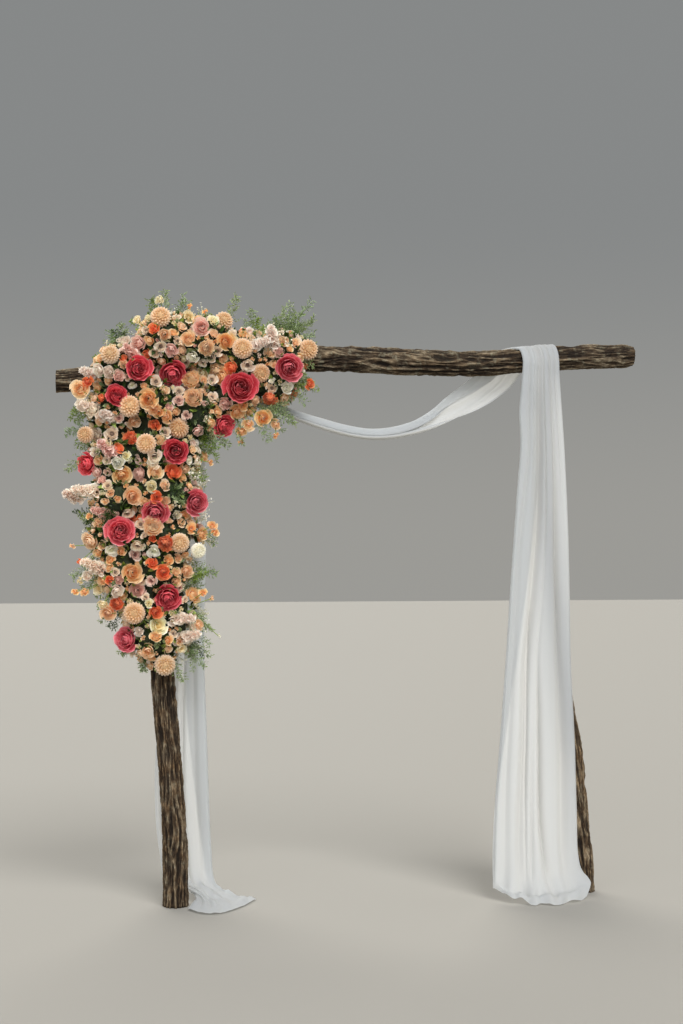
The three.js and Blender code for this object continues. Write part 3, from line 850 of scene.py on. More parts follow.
palette = {  # throat, heart, body and rim of each kind's petals; the dark throats are partly their own colour and partly painted shade, the pale rims partly their own colour and partly a painted highlight
    "crimson": (shade(112, 12, 28), shade(196, 42, 62), shade(238, 90, 106), shade(252, 166, 172)),
    "rosyPink": (shade(126, 24, 42), shade(208, 68, 88), shade(244, 124, 138), shade(252, 192, 198)),
    "orange": (shade(244, 136, 70), shade(255, 190, 122), shade(255, 218, 166), shade(255, 238, 212)),
    "flame": (shade(200, 62, 28), shade(246, 116, 64), shade(254, 152, 100), shade(255, 194, 152)),
    "peach": (shade(244, 168, 112), shade(255, 206, 154), shade(255, 224, 188), shade(255, 238, 216)),
    "cream": (shade(226, 192, 122), shade(252, 234, 186), shade(255, 246, 216), shade(255, 252, 238)),
    "mauve": (shade(190, 110, 100), shade(238, 180, 166), shade(250, 216, 202), shade(255, 236, 224)),
    "lilac": (shade(222, 180, 166), shade(250, 228, 212), shade(255, 242, 228), shade(255, 250, 240)),
    "white": (shade(226, 222, 180), shade(248, 244, 222), shade(253, 250, 238), shade(254, 252, 246)),
    "dahlia": (shade(200, 136, 82), shade(224, 182, 132), shade(234, 204, 174), shade(242, 222, 202)),
    "darkThroat": (shade(56, 24, 20), shade(250, 222, 196), shade(255, 242, 222), shade(255, 246, 232)),
    "pinkThroat": (shade(96, 32, 38), shade(246, 200, 184), shade(255, 232, 218), shade(255, 240, 228)),
}


def bezier(b, p0, p1, p2, p3):
    return (1 - b) ** 3 * p0 + 3 * (1 - b) ** 2 * b * p1 + 3 * (1 - b) * b * b * p2 + b ** 3 * p3


def sheetPlaces(rows, columns):  # places along a petal from its foot, and across it from its middle
    return np.linspace(0, 1, rows)[:, None], np.linspace(-1, 1, columns)[None, :]


def gather(sheets):  # sheets: grids of points with their place along, across and a petal's own number
    parts = {"points": [], "faces": [], "along": [], "across": [], "layer": [], "own": []}
    start = 0
    for grid, b, a, depth, number in sheets:
        rows, columns = grid.shape[:2]
        parts["points"].append(grid.reshape(-1, 3))
        parts["faces"].append(gridFaces(rows, columns) + start)
        for key, value in (("along", b), ("across", a), ("layer", depth), ("own", number)):
            parts[key].append(np.broadcast_to(value, (rows, columns)).ravel())
        start += rows * columns
    return {key: np.concatenate(values) for key, values in parts.items()}


def cupPetals(seed, petals, rows, columns, dome=0.42, ruffle=0.04, lip=0.2, tight=0.08, jag=0.0, closed=0.35,
              point=0.0, loose=1.0, outer=0.0):
    rng = np.random.default_rng(seed)
    b, a = sheetPlaces(rows, columns)
    sheets = []
    for k in range(petals):
        f = (k + 0.5) / petals  # 0 in the bloom's middle and 1 at its outermost petal
        turn = goldenTurn * k + rng.normal(0, 0.14)
        rim = (tight + (1 - tight) * f ** 0.9) * (1 + loose * rng.uniform(-0.06, 0.05))  # radius of its lip
        spread = math.radians(92 - 50 * f ** 0.8)
        top = dome * (1 - (1 - outer) * f ** 1.8) + loose * rng.normal(0, 0.025)
        curl = lip * max(0.0, f - 0.3) / 0.7
        notch = 1 + jag * rng.uniform(-1, 1, (1, columns))
        outline = 1 - 0.24 * np.abs(a) ** 2.6 + point * np.exp(-((a / 0.3) ** 2))
        reach = np.clip(b * outline * notch, 0, 1.15)
        radius = bezier(reach, 0.10 + 0.12 * rim, rim * 1.04, rim * (1 - closed * 0.5 * (1 - f)),
                        rim * (1 - closed * (1 - f)) + curl)
        height = bezier(reach, -0.45, -0.34, top - 0.12, top - 0.45 * curl)
        wave, sway = rng.uniform(*anySpin, 2)
        radius = radius + 0.05 * a * f + ruffle * reach ** 3 * np.sin(2.6 * math.pi * a + wave)
        height = height + ruffle * reach ** 3 * np.sin(3.3 * math.pi * a + sway)
        angle = turn + a * spread * (0.42 + 0.58 * reach ** 0.6)
        grid = np.stack([radius * np.cos(angle), radius * np.sin(angle), height], axis=-1)
        sheets.append((grid, b, a, f, rng.uniform()))
    return sheets


def dahliaFlorets(seed, florets=112, rows=4, columns=4):
    rng = np.random.default_rng(seed)
    b, a = sheetPlaces(rows, columns)
    sheets = []
    for k in range(florets):
        f = (k + 0.5) / florets
        turn = goldenTurn * k
        polar = math.radians(6 + 104 * f ** 0.62)
        c, n = math.cos(turn), math.sin(turn)
        pole = np.array([math.sin(polar) * c, math.sin(polar) * n, math.cos(polar) * 0.8])
        down = np.array([math.cos(polar) * c, math.cos(polar) * n, -math.sin(polar)])
        side = np.cross(pole / np.linalg.norm(pole), down)
        lean = 0.30 + 0.45 * f
        grow = pole * (1 - lean) + down * lean
        grow /= np.linalg.norm(grow)
        inner = np.cross(grow, side)
        length = (0.22 + 0.28 * f) * rng.uniform(0.92, 1.08)
        width = 0.072 + 0.135 * f ** 0.7
        base = pole * (0.86 - 0.70 * length) * (0.72 + 0.28 * f ** 0.5)
        swell = np.sin(math.pi * (0.12 + 0.80 * b)) ** 0.8
        tip = b * (1 - 0.16 * np.abs(a) ** 2)
        cup = 0.5 * width * (1 - np.cos(1.25 * a)) * (1.15 - 0.6 * b)
        grid = (base + grow * (length * tip)[..., None] + side * (width * swell * a)[..., None]
                - inner * (cup - 0.10 * length * b * b)[..., None])
        sheets.append((grid, b, a, f, rng.uniform()))
    return sheets


def boss(radius, height, low, rows=4, columns=9, along=0.1):  # a round boss in a bloom's throat
    b = np.linspace(0, 1, rows)[:, None]
    angle = np.linspace(0, fullTurn, columns)[None, :]
    ring = radius * np.cos(b * math.pi / 2 * 0.98)
    top = low + height * np.sin(b * math.pi / 2) + 0 * angle
    return (np.stack([ring * np.cos(angle), ring * np.sin(angle), top], axis=-1), along, 0.0, 0.0, 0.5)


def cupBlooms(count, seed, *petals, throat=(), **form):
    return [gather(cupPetals(seed + n, *petals, **form) + list(throat)) for n in range(count)]


def floretSpike(seed, florets=24):  # a stock stem: small ruffled florets round a stem along Z
    rng = np.random.default_rng(seed)
    small = cupBlooms(3, seed, 6, 3, 4, dome=0.3, ruffle=0.10, lip=0.25, tight=0.2)
    parts = []
    for k in range(florets):
        f = k / (florets - 1)
        c, n = math.cos(goldenTurn * k), math.sin(goldenTurn * k)
        size = 0.32 * (1 - 0.45 * f)
        reach = 0.25 * (1 - 0.62 * f)
        place = np.array([reach * c, reach * n, -0.5 + 1.1 * f])
        look = unit(np.array([c, n, 0.35 + 0.9 * f]))
        parts.append(turned(small[k % 3], place, look, size, rng.uniform(*anySpin)))
    return joinShapes(parts)


def joinShapes(parts):
    shifted, start = [], 0
    for part in parts:
        shifted.append(part["faces"] + start)
        start += len(part["points"])
    out = {key: np.concatenate([part[key] for part in parts]) for key in parts[0]}
    out["faces"] = np.concatenate(shifted)
    return out


def facingMatrix(look, spin):  # turns Z to look, with a spin about it
    look = np.asarray(look, dtype=float)
    look = look / np.linalg.norm(look)
    helper = np.array([0.0, 0.0, 1.0]) if abs(look[2]) < 0.9 else np.array([1.0, 0.0, 0.0])
    right = np.cross(helper, look)
    right /= np.linalg.norm(right)
    above = np.cross(look, right)
    c, n = math.cos(spin), math.sin(spin)
    return np.stack([right * c + above * n, above * c - right * n, look], axis=1)


def turned(shape, place, look, size, spin):
    out = dict(shape)
    out["points"] = shape["points"] * size @ facingMatrix(look, spin).T + np.asarray(place)
    return out


def tinted(shape, kind, rng):
    throat, heart, body, rim = palette[kind]
    along, layer, own = shape["along"][:, None], shape["layer"][:, None], shape["own"][:, None]
    # inner petals keep the throat's dark colour further out: painted shade deep in the bloom
    rise = np.clip(along * 1.25 * (0.55 + 0.45 * layer), 0, 1)
    opened = np.clip((rise - 0.25) / 0.5, 0, 1)
    # the outer petals pale at their lips: partly their own colour and partly a painted highlight
    edge = np.clip((along - 0.80) / 0.2, 0, 1) * (0.35 + 0.5 * layer)
    colour = throat + (heart - throat) * np.clip(rise / 0.30, 0, 1)
    colour = colour + (body - heart) * opened + (rim - body) * edge * opened
    colour = colour * (0.95 + 0.12 * own) * rng.uniform(0.94, 1.06)
    warm = rng.normal(0, 0.02)
    return np.clip(colour * np.array([1 + warm, 1, 1 - warm]), 0, 1)


openThroat = [boss(0.3, 0.24, -0.4)]
shapes = {  # how many of each kind, its seed, petals, rows and columns, and its form
    "rose": cupBlooms(5, 100, 30, 8, 9, dome=0.50, ruffle=0.035, lip=0.15, point=0.07, loose=1.9, outer=0.30,
                      closed=0.30),
    "garden": cupBlooms(4, 140, 22, 6, 7, dome=0.44, ruffle=0.03, lip=0.16),
    "carnation": cupBlooms(3, 160, 36, 5, 7, dome=0.5, ruffle=0.09, lip=0.08, jag=0.07),
    "bud": cupBlooms(3, 180, 10, 5, 5, dome=0.75, ruffle=0.03, lip=0.04, tight=0.12),
    "open": cupBlooms(4, 200, 11, 4, 5, throat=openThroat, dome=0.22, ruffle=0.07, lip=0.22, tight=0.42,
                      closed=0.05),
    "smallGarden": cupBlooms(3, 260, 14, 4, 5, dome=0.46, ruffle=0.04, lip=0.18),
    "smallCarnation": cupBlooms(3, 270, 20, 4, 5, dome=0.5, ruffle=0.10, lip=0.1, jag=0.08),
    "tinyBud": cupBlooms(2, 280, 7, 4, 4, dome=0.7, ruffle=0.03, lip=0.05, tight=0.15),
    "dahlia": [gather(dahliaFlorets(220 + n) + [boss(0.56, 0.52, -0.06, 6, 14, 0.42)]) for n in range(3)],
    "spike": [floretSpike(240 + n) for n in range(3)],
}
print("flower shapes made")


# The beds that carry the flowers
foliage = {
    "voxel": 0.016,
    "shrink": 0.024,  # how far the dark core, painted shade between the blooms, lies under the beds' skin
    "rough": 0.010,  # how far its surface goes up and down
    "thinFrom": 0.03,  # right of this x and below this z the bed is sparse, and its core is drawn in
    "thinBelow": 1.62,
    "thinShare": 0.42,  # how much of the core's reach past thinFrom is left there
    # near-black greens of the core: painted shade
    "shade": [(0.35, (0.006, 0.010, 0.004)), (0.7, (0.030, 0.048, 0.016))],
}
bedNodes = [name for name in cadNodes if name.startswith("bed_")]


def joinedBeds():
    points, faces, start = [], [], 0
    for name in bedNodes:
        mesh = cadNodes[name].data
        points += [tuple(v.co) for v in mesh.vertices]
        faces += [tuple(start + i for i in p.vertices) for p in mesh.polygons]
        start += len(mesh.vertices)
    return points, faces


def makeCore():  # a dark sheet of painted shade under the blooms, for the leaves deep between them; gives back the beds' skin, on which everything is placed
    piece = buildMesh("foliageCore", *joinedBeds(), [leafShade])
    remesh = piece.modifiers.new("remesh", "REMESH")
    remesh.mode = "VOXEL"
    remesh.voxel_size = foliage["voxel"]
    graph = bpy.context.evaluated_depsgraph_get()
    mesh = bpy.data.meshes.new_from_object(piece.evaluated_get(graph))
    piece.modifiers.clear()
    piece.data = mesh
    count = len(mesh.vertices)
    places, normals = np.empty(count * 3), np.empty(count * 3)
    mesh.vertices.foreach_get("co", places)
    mesh.vertices.foreach_get("normal", normals)
    places, normals = places.reshape(-1, 3), normals.reshape(-1, 3)
    areas = np.array([p.area for p in mesh.polygons])
    skin = {
        "tree": BVHTree.FromPolygons([Vector(p) for p in places], [tuple(p.vertices) for p in mesh.polygons]),
        "centres": np.array([p.center for p in mesh.polygons]),
        "normals": np.array([p.normal for p in mesh.polygons]),
        "chances": areas / areas.sum(),
    }
    bumps = np.array([noise.noise(Vector(p) * 38) + 0.5 * noise.noise(Vector(p) * 90) for p in places])
    moved = places - normals * (foliage["shrink"] + foliage["rough"] * bumps)[:, None]
    edge = foliage["thinFrom"]
    thin = (moved[:, 0] > edge) & (moved[:, 2] < foliage["thinBelow"] + 0.25 * moved[:, 0])
    moved[thin, 0] = edge + (moved[thin, 0] - edge) * foliage["thinShare"]
    mesh.vertices.foreach_set("co", moved.ravel())
    mesh.materials.clear()
    mesh.materials.append(leafShade)
    mesh.polygons.foreach_set("use_smooth", [True] * len(mesh.polygons))
    mesh.update()
    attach(piece, "root")
    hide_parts(*bedNodes)
    return skin


def scatter(rng, count):  # places on the beds' skin with their normals, as many to each area
    picks = rng.choice(len(skin["chances"]), count, p=skin["chances"])
    return [(skin["centres"][pick], skin["normals"][pick]) for pick in picks]


def inThinPart(place):  # the lower bed's right side, which is sparse
    return place[0] > foliage["thinFrom"] and place[2] < foliage["thinBelow"]


def makePetalGroup():
    group, source, out = newGroup(
        "petalTone",
        [
            ("Tint", "NodeSocketColor", (1, 1, 1, 1)),
            ("Across", "NodeSocketFloat", 0.0),
            ("Along", "NodeSocketFloat", 0.0),
        ],
        [("Color", "NodeSocketColor"), ("Height", "NodeSocketFloat")],
    )
    veins = calculate(group, "SINE", calculate(group, "MULTIPLY", source.outputs["Across"], 30.0))
    specks = grain(group, objectPlace(group), scale=240.0, detail=3.0, roughness=0.6)
    height = calculate(group, "MULTIPLY_ADD", veins, 0.12, specks)
    level = mapRange(group, height, 0.25, 0.75, 0.88, 1.10)
    group.links.new(scaleColour(group, source.outputs["Tint"], level), out.inputs["Color"])
    group.links.new(height, out.inputs["Height"])
    return group


def petalMaterial(name, group, roughness, through, sheen):
    material, tree, shader = newMaterial(name, roughness)
    shader.inputs["Sheen Weight"].default_value = sheen
    shader.inputs["Specular IOR Level"].default_value = 0.3
    tone = placeGroup(tree, group, Tint=meshValue(tree, "tint", "Color"), Across=meshValue(tree, "across"),
                      Along=meshValue(tree, "along"))
    tree.links.new(tone.outputs["Color"], shader.inputs["Base Color"])
    addBump(tree, shader, tone.outputs["Height"], strength=0.25, distance=0.0008)
    letThrough(tree, shader, tone.outputs["Color"], through)
    return material


# the core's near-black green is painted shade
def leafShadeMaterial():
    material, tree, shader = newMaterial("leafShade", 0.9)
    tone = colourRamp(tree, grain(tree, None, scale=60.0, detail=5.0), foliage["shade"])
    tree.links.new(tone, shader.inputs["Base Color"])
    return material


petalGroup = makePetalGroup()
petal = petalMaterial("petal", petalGroup, roughness=0.55, through=0.35, sheen=0.15)
leafGreen = petalMaterial("leaf", petalGroup, roughness=0.45, through=0.2, sheen=0.0)
leafShade = leafShadeMaterial()
skin = makeCore()
print("foliage core made")


# Blooms that can be told apart, by where they are seen: kind, colour, x, z and radius
chosen = [
    ("dahlia", "dahlia", -0.255, 2.160, 0.038), ("dahlia", "dahlia", -0.190, 1.965, 0.044),
    ("dahlia", "dahlia", -0.120, 1.820, 0.040), ("dahlia", "dahlia", -0.345, 1.850, 0.034),
    ("dahlia", "white", 0.075, 1.415, 0.032), ("garden", "orange", 0.180, 2.225, 0.037),
    ("garden", "peach", 0.040, 2.230, 0.033), ("garden", "peach", -0.365, 2.025, 0.038),
    ("carnation", "orange", 0.050, 2.065, 0.038), ("garden", "orange", 0.175, 2.080, 0.035),
    ("garden", "flame", 0.210, 2.125, 0.029), ("carnation", "flame", 0.360, 2.010, 0.031),
    ("carnation", "flame", -0.180, 1.840, 0.029), ("garden", "mauve", 0.090, 2.275, 0.037),
    ("garden", "orange", -0.215, 1.705, 0.038), ("garden", "peach", -0.085, 1.710, 0.033),
    ("garden", "flame", -0.020, 1.710, 0.033), ("carnation", "mauve", -0.145, 1.705, 0.029),
    ("garden", "peach", -0.175, 1.620, 0.038), ("garden", "cream", -0.100, 1.655, 0.025),
    ("garden", "flame", -0.080, 1.620, 0.025), ("carnation", "peach", -0.095, 1.500, 0.042),
    ("carnation", "flame", -0.050, 1.440, 0.033), ("garden", "orange", -0.175, 1.325, 0.042),
    ("garden", "flame", -0.055, 1.325, 0.031), ("garden", "peach", 0.030, 1.330, 0.027),
    ("garden", "peach", -0.325, 1.445, 0.037), ("spike", "lilac", -0.315, 1.350, 0.062),
    ("garden", "mauve", -0.155, 1.255, 0.033), ("garden", "peach", -0.255, 1.170, 0.033),
    ("garden", "flame", -0.085, 1.175, 0.027), ("open", "cream", -0.075, 1.125, 0.040),
    ("garden", "orange", -0.085, 1.080, 0.025), ("bud", "peach", -0.110, 1.030, 0.036),
    ("garden", "orange", 0.055, 1.235, 0.035), ("bud", "peach", 0.075, 1.125, 0.027),
    ("bud", "white", 0.060, 2.165, 0.030), ("spike", "lilac", 0.370, 2.235, 0.070),
    ("spike", "lilac", 0.310, 2.215, 0.060), ("spike", "lilac", -0.320, 2.090, 0.062),
    ("spike", "lilac", -0.330, 1.960, 0.055), ("spike", "lilac", -0.270, 1.930, 0.055),
    ("spike", "lilac", -0.350, 1.640, 0.062), ("spike", "lilac", -0.400, 1.620, 0.055),
    ("spike", "lilac", 0.020, 1.150, 0.060), ("spike", "lilac", 0.040, 1.080, 0.060),
    ("spike", "mauve", -0.270, 1.800, 0.060), ("spike", "mauve", -0.180, 2.170, 0.055),
    ("spike", "mauve", -0.290, 1.560, 0.050), ("carnation", "peach", 0.150, 2.115, 0.036),
    ("carnation", "peach", 0.110, 2.200, 0.034), ("bud", "cream", -0.070, 2.375, 0.023),
    ("bud", "cream", -0.110, 2.305, 0.021), ("bud", "cream", -0.150, 2.295, 0.023),
    ("smallGarden", "cream", 0.045, 2.315, 0.025), ("smallGarden", "orange", 0.075, 2.300, 0.021),
    ("smallGarden", "cream", 0.135, 2.300, 0.025), ("tinyBud", "orange", 0.105, 2.335, 0.015),
    ("tinyBud", "orange", 0.040, 2.355, 0.015), ("smallGarden", "flame", -0.090, 2.265, 0.025),
    ("smallCarnation", "peach", -0.050, 2.245, 0.027), ("smallCarnation", "mauve", -0.145, 2.210, 0.035),
    ("open", "darkThroat", -0.065, 2.200, 0.023), ("smallCarnation", "mauve", -0.025, 2.190, 0.030),
    ("smallCarnation", "lilac", -0.210, 2.210, 0.030), ("open", "darkThroat", 0.270, 2.135, 0.027),
    ("smallGarden", "cream", 0.095, 2.105, 0.027), ("open", "darkThroat", 0.130, 2.070, 0.023),
    ("open", "darkThroat", -0.085, 2.060, 0.023), ("open", "darkThroat", 0.000, 2.025, 0.022),
    ("open", "darkThroat", 0.130, 2.005, 0.023), ("open", "pinkThroat", 0.000, 1.990, 0.023),
    ("garden", "orange", -0.110, 1.995, 0.040), ("smallGarden", "orange", -0.075, 1.950, 0.030),
    ("smallGarden", "orange", -0.045, 1.930, 0.027), ("smallGarden", "peach", -0.095, 1.960, 0.028),
    ("carnation", "peach", 0.060, 2.000, 0.038), ("smallGarden", "peach", -0.170, 1.915, 0.032),
    ("smallGarden", "flame", -0.090, 1.900, 0.025), ("open", "darkThroat", -0.050, 1.865, 0.023),
    ("garden", "orange", 0.230, 1.955, 0.032), ("smallGarden", "peach", 0.270, 1.910, 0.028),
    ("garden", "orange", 0.325, 1.935, 0.035), ("smallGarden", "orange", 0.245, 1.880, 0.023),
    ("smallGarden", "peach", 0.380, 1.910, 0.023), ("tinyBud", "orange", 0.380, 1.865, 0.017),
    ("tinyBud", "orange", 0.245, 1.840, 0.015), ("smallCarnation", "white", 0.420, 2.050, 0.027),
    ("smallGarden", "flame", 0.510, 2.065, 0.023), ("open", "darkThroat", -0.250, 1.855, 0.028),
    ("bud", "cream", -0.265, 1.815, 0.025), ("smallCarnation", "lilac", -0.305, 1.850, 0.030),
    ("smallGarden", "cream", -0.200, 1.775, 0.020), ("smallCarnation", "white", -0.230, 1.750, 0.028),
    ("open", "darkThroat", -0.090, 1.775, 0.028), ("open", "darkThroat", -0.095, 1.750, 0.024),
    ("smallGarden", "orange", 0.095, 1.775, 0.023), ("tinyBud", "orange", 0.120, 1.755, 0.017),
    ("smallCarnation", "lilac", -0.320, 1.950, 0.032), ("smallCarnation", "lilac", -0.360, 1.970, 0.028),
    ("smallCarnation", "lilac", -0.285, 1.930, 0.028), ("smallGarden", "orange", 0.250, 1.980, 0.025),
    ("smallCarnation", "mauve", 0.185, 1.985, 0.028), ("smallGarden", "flame", -0.340, 2.060, 0.025),
    ("smallCarnation", "lilac", -0.295, 2.105, 0.030), ("smallCarnation", "lilac", -0.260, 2.095, 0.027),
    ("smallCarnation", "mauve", -0.225, 2.085, 0.025), ("open", "darkThroat", -0.095, 1.755, 0.022),
    ("smallCarnation", "white", -0.230, 1.750, 0.025), ("smallCarnation", "mauve", -0.305, 1.715, 0.024),
    ("smallCarnation", "mauve", -0.285, 1.680, 0.019), ("smallGarden", "peach", -0.255, 1.630, 0.018),
    ("smallGarden", "orange", -0.230, 1.610, 0.016), ("smallGarden", "peach", -0.275, 1.600, 0.016),
    ("smallGarden", "cream", -0.320, 1.570, 0.016), ("smallGarden", "orange", -0.335, 1.540, 0.015),
    ("smallCarnation", "peach", -0.295, 1.515, 0.026), ("open", "darkThroat", -0.195, 1.555, 0.023),
    ("open", "darkThroat", -0.140, 1.510, 0.022), ("open", "darkThroat", -0.150, 1.430, 0.028),
    ("smallGarden", "orange", -0.125, 1.600, 0.021), ("smallGarden", "orange", -0.300, 1.405, 0.021),
    ("tinyBud", "peach", -0.395, 1.430, 0.015), ("tinyBud", "flame", -0.370, 1.370, 0.015),
    ("smallGarden", "peach", -0.345, 1.375, 0.016), ("open", "white", -0.250, 1.415, 0.026),
    ("smallGarden", "orange", -0.215, 1.410, 0.021), ("smallGarden", "orange", -0.255, 1.375, 0.021),
    ("open", "pinkThroat", -0.165, 1.395, 0.025), ("open", "white", -0.090, 1.410, 0.026),
    ("smallGarden", "flame", -0.095, 1.360, 0.026), ("smallCarnation", "lilac", -0.335, 1.315, 0.024),
    ("tinyBud", "cream", -0.365, 1.295, 0.018), ("smallGarden", "flame", -0.260, 1.300, 0.018),
    ("open", "darkThroat", -0.140, 1.295, 0.023), ("open", "pinkThroat", -0.100, 1.295, 0.024),
    ("open", "cream", -0.295, 1.270, 0.029), ("smallGarden", "orange", -0.350, 1.255, 0.019),
    ("smallGarden", "orange", -0.385, 1.255, 0.015), ("smallGarden", "cream", -0.280, 1.210, 0.023),
    ("smallCarnation", "lilac", -0.230, 1.260, 0.029), ("carnation", "flame", -0.225, 1.205, 0.029),
    ("smallGarden", "cream", -0.110, 1.205, 0.019), ("smallGarden", "orange", 0.050, 1.495, 0.024),
    ("garden", "orange", 0.090, 1.475, 0.025), ("smallGarden", "orange", 0.130, 1.505, 0.021),
    ("smallGarden", "orange", 0.140, 1.480, 0.018), ("smallGarden", "orange", 0.095, 1.245, 0.019),
    ("tinyBud", "peach", 0.130, 1.225, 0.014), ("smallCarnation", "lilac", -0.143, 1.100, 0.021),
    ("smallGarden", "orange", -0.035, 1.065, 0.021), ("open", "cream", 0.015, 1.035, 0.021),
    ("smallGarden", "peach", 0.000, 1.380, 0.019), ("smallCarnation", "white", -0.005, 1.550, 0.019),
    ("smallGarden", "peach", 0.100, 2.068, 0.018), ("tinyBud", "white", 0.159, 1.079, 0.010),
]
filler = {  # tries, how close they may stand, then each kind's colour, radius and share
    "medium": (5200, 0.80, [
        ("open", "darkThroat", 0.0195, 0.18), ("open", "pinkThroat", 0.0185, 0.08),
        ("bud", "cream", 0.016, 0.05),
        ("smallGarden", "peach", 0.022, 0.23), ("smallGarden", "orange", 0.021, 0.18),
        ("smallCarnation", "mauve", 0.022, 0.06), ("smallGarden", "flame", 0.019, 0.06),
        ("open", "lilac", 0.020, 0.04), ("smallCarnation", "peach", 0.022, 0.10),
        ("open", "white", 0.017, 0.02),
    ]),
    "small": (5200, 0.78, [
        ("tinyBud", "orange", 0.0125, 0.30), ("tinyBud", "peach", 0.0130, 0.30),
        ("tinyBud", "cream", 0.0130, 0.20),
        ("tinyBud", "mauve", 0.012, 0.10), ("tinyBud", "lilac", 0.012, 0.10),
    ]),
}
hollows = [  # x, z and radius of the gaps where the dark core, painted shade between the blooms, shows
    (-0.136, 1.901, 0.036), (0.155, 2.039, 0.034), (0.139, 2.117, 0.026), (0.087, 1.948, 0.040),
    (0.040, 1.964, 0.028), (-0.088, 1.866, 0.026), (-0.159, 1.791, 0.024), (0.104, 1.846, 0.034),
    (-0.287, 2.043, 0.024), (-0.009, 1.650, 0.036), (-0.003, 1.599, 0.034), (-0.042, 1.503, 0.024),
    (-0.203, 1.375, 0.026), (-0.119, 1.337, 0.024), (-0.229, 1.663, 0.028), (-0.281, 1.548, 0.034),
    (-0.210, 1.567, 0.030), (-0.171, 1.787, 0.020), (-0.055, 1.050, 0.030), (-0.103, 1.248, 0.022),
    (-0.287, 1.739, 0.022),
]
named = {  # the large blooms, each in the place of its own CAD node
    "rosyPink": ("rose_05", "rose_09", "rose_10", "rose_11", "rose_13"),  # the other roses are crimson
    "lifted": {"rose_02": 0.036, "rose_13": 0.016, "rose_06": 0.012, "rose_04": 0.008, "rose_05": 0.006},
    "ownWay": {"rose_08": 0.85},  # share of a bloom's own direction in where it looks
    "grown": {"rose": 0.95, "dahlia": 1.22},  # radius as a share of the CAD bloom's
    "sunk": {"rose": 0.0, "dahlia": 0.15},
}
seating = {
    "sightY": -0.19,  # y of the plane in which the blooms' x and z are read
    "outlying": 0.012,  # metres from the bed at which a bloom gets a stem of its own
    "stray": 0.14,  # how far a bloom looks away from its own direction
    "lift": 0.30,  # how far a bloom stands out of the bed, as a share of its radius
    "spikeLift": 0.1,
    "spikeRoom": 0.42,  # the room that a spike takes, as a share of its radius
    "grown": {"spike": 1.35, "dahlia": 1.2},  # how much larger these are drawn than their radius
}
scattering = {  # of the small blooms between
    "back": 0.35,  # the bed's back is where its normal points back more than this
    "backLeftOut": 0.8,  # share left out there
    "thinLeftOut": 0.85,  # and where the lower bed is sparse
    "bareBelow": 0.95,  # z of the tail, which has none on its underside
    "sizes": (0.85, 1.2),
    "stray": 0.22,
    "sunk": 0.15,  # how far they are pushed into the bed, as a share of their radius
}
longStems = {(0.159, 1.079): (0.040, -0.120, 1.205)}  # x and z of a bud, and where its stem leaves the bed
bloomSetOf = {
    "dahlia": "dahlias", "garden": "gardenRoses", "smallGarden": "sprayRoses", "carnation": "carnations",
    "smallCarnation": "carnations", "open": "lisianthus", "spike": "stocks", "bud": "buds", "tinyBud": "buds",
}
bloomSets = {name: [] for name in bloomSetOf.values()}
placedBlooms = []  # centre and radius of each bloom so far
stemEnds = []  # root and bloom of each stem that shows
bloomRandom = np.random.default_rng(7)
eye = np.array(view["place"])
carriers = [
    BVHTree.FromPolygons([v.co for v in mesh.vertices], [tuple(p.vertices) for p in mesh.polygons])
    for mesh in (bpy.data.objects[name].data for name in ("chiffonDrape", "barkBeam", "barkPost_left"))
]


def seatFromView(x, z):  # where a bloom seen at x, z sits on the beds, and where its stem comes out of them
    target = Vector((x, seating["sightY"], z))
    ray = (target - Vector(eye)).normalized()
    hit, normal, _, _ = skin["tree"].ray_cast(Vector(eye), ray)
    root = hit
    if hit is None:
        root, normal, _, _ = skin["tree"].find_nearest(target)
        hit = Vector(eye) + ray * ((root.y - eye[1]) / ray.y)
        normal = (hit - root).normalized() if (hit - root).length > 0.005 else normal
    return np.array(hit), np.array(normal), np.array(root)


def meets(start, end):  # whether a stem from start to end would pass through the cloth or a log
    toward = Vector(end) - Vector(start)
    reach = toward.length + 0.004
    return any(tree.ray_cast(Vector(start), toward.normalized(), reach)[0] for tree in carriers)


def placeBloom(shape, colour, place, look, radius):
    part = turned(shape, place, look, radius, bloomRandom.uniform(*anySpin))
    part["tint"] = tinted(part, colour, bloomRandom)
    placedBlooms.append((place, radius))
    return part


def addBloom(kind, colour, place, look, radius):
    shape = shapes[kind][bloomRandom.integers(len(shapes[kind]))]
    bloomSets[bloomSetOf[kind]].append(placeBloom(shape, colour, place, look, radius))


def shapeObject(name, part, material, replaced=()):
    tint = np.concatenate([part["tint"], np.ones((len(part["points"]), 1))], axis=1)
    piece = buildMesh(name, part["points"], part["faces"], [material], tints=tint,
                      floats={"across": part["across"], "along": part["along"]})
    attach(piece, "root")
    if replaced:
        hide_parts(*replaced)


def makeNamedBlooms():
    for name in sorted(n for n in cadNodes if n.startswith(("rose_", "dahlia_"))):
        kind = name[:-3]
        colour = kind if kind == "dahlia" else "rosyPink" if name in named["rosyPink"] else "crimson"
        low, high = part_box(name)
        middle = np.array((low + high) / 2)
        toEye = unit(eye - middle)
        corners = np.array([v.co for v in cadNodes[name].data.vertices])
        spread = corners - corners.mean(axis=0)
        look = np.linalg.eigh(spread.T @ spread)[1][:, 0]  # the axis along which the CAD bloom is flattest
        look = look * (-1 if look[1] > 0 else 1)
        wide = np.linalg.norm(spread - np.outer(spread @ look, look), axis=1).max()
        base = middle - look * (named["sunk"][kind] * wide) + toEye * named["lifted"].get(name, 0.0)
        look = unit(look * named["ownWay"].get(name, 0.5) + toEye * 0.5)
        shape = shapes[kind][int(name[-2:]) % len(shapes[kind])]
        part = placeBloom(shape, colour, base, look, wide * named["grown"][kind])
        shapeObject(f"bloom_{name}", part, petal, [name])


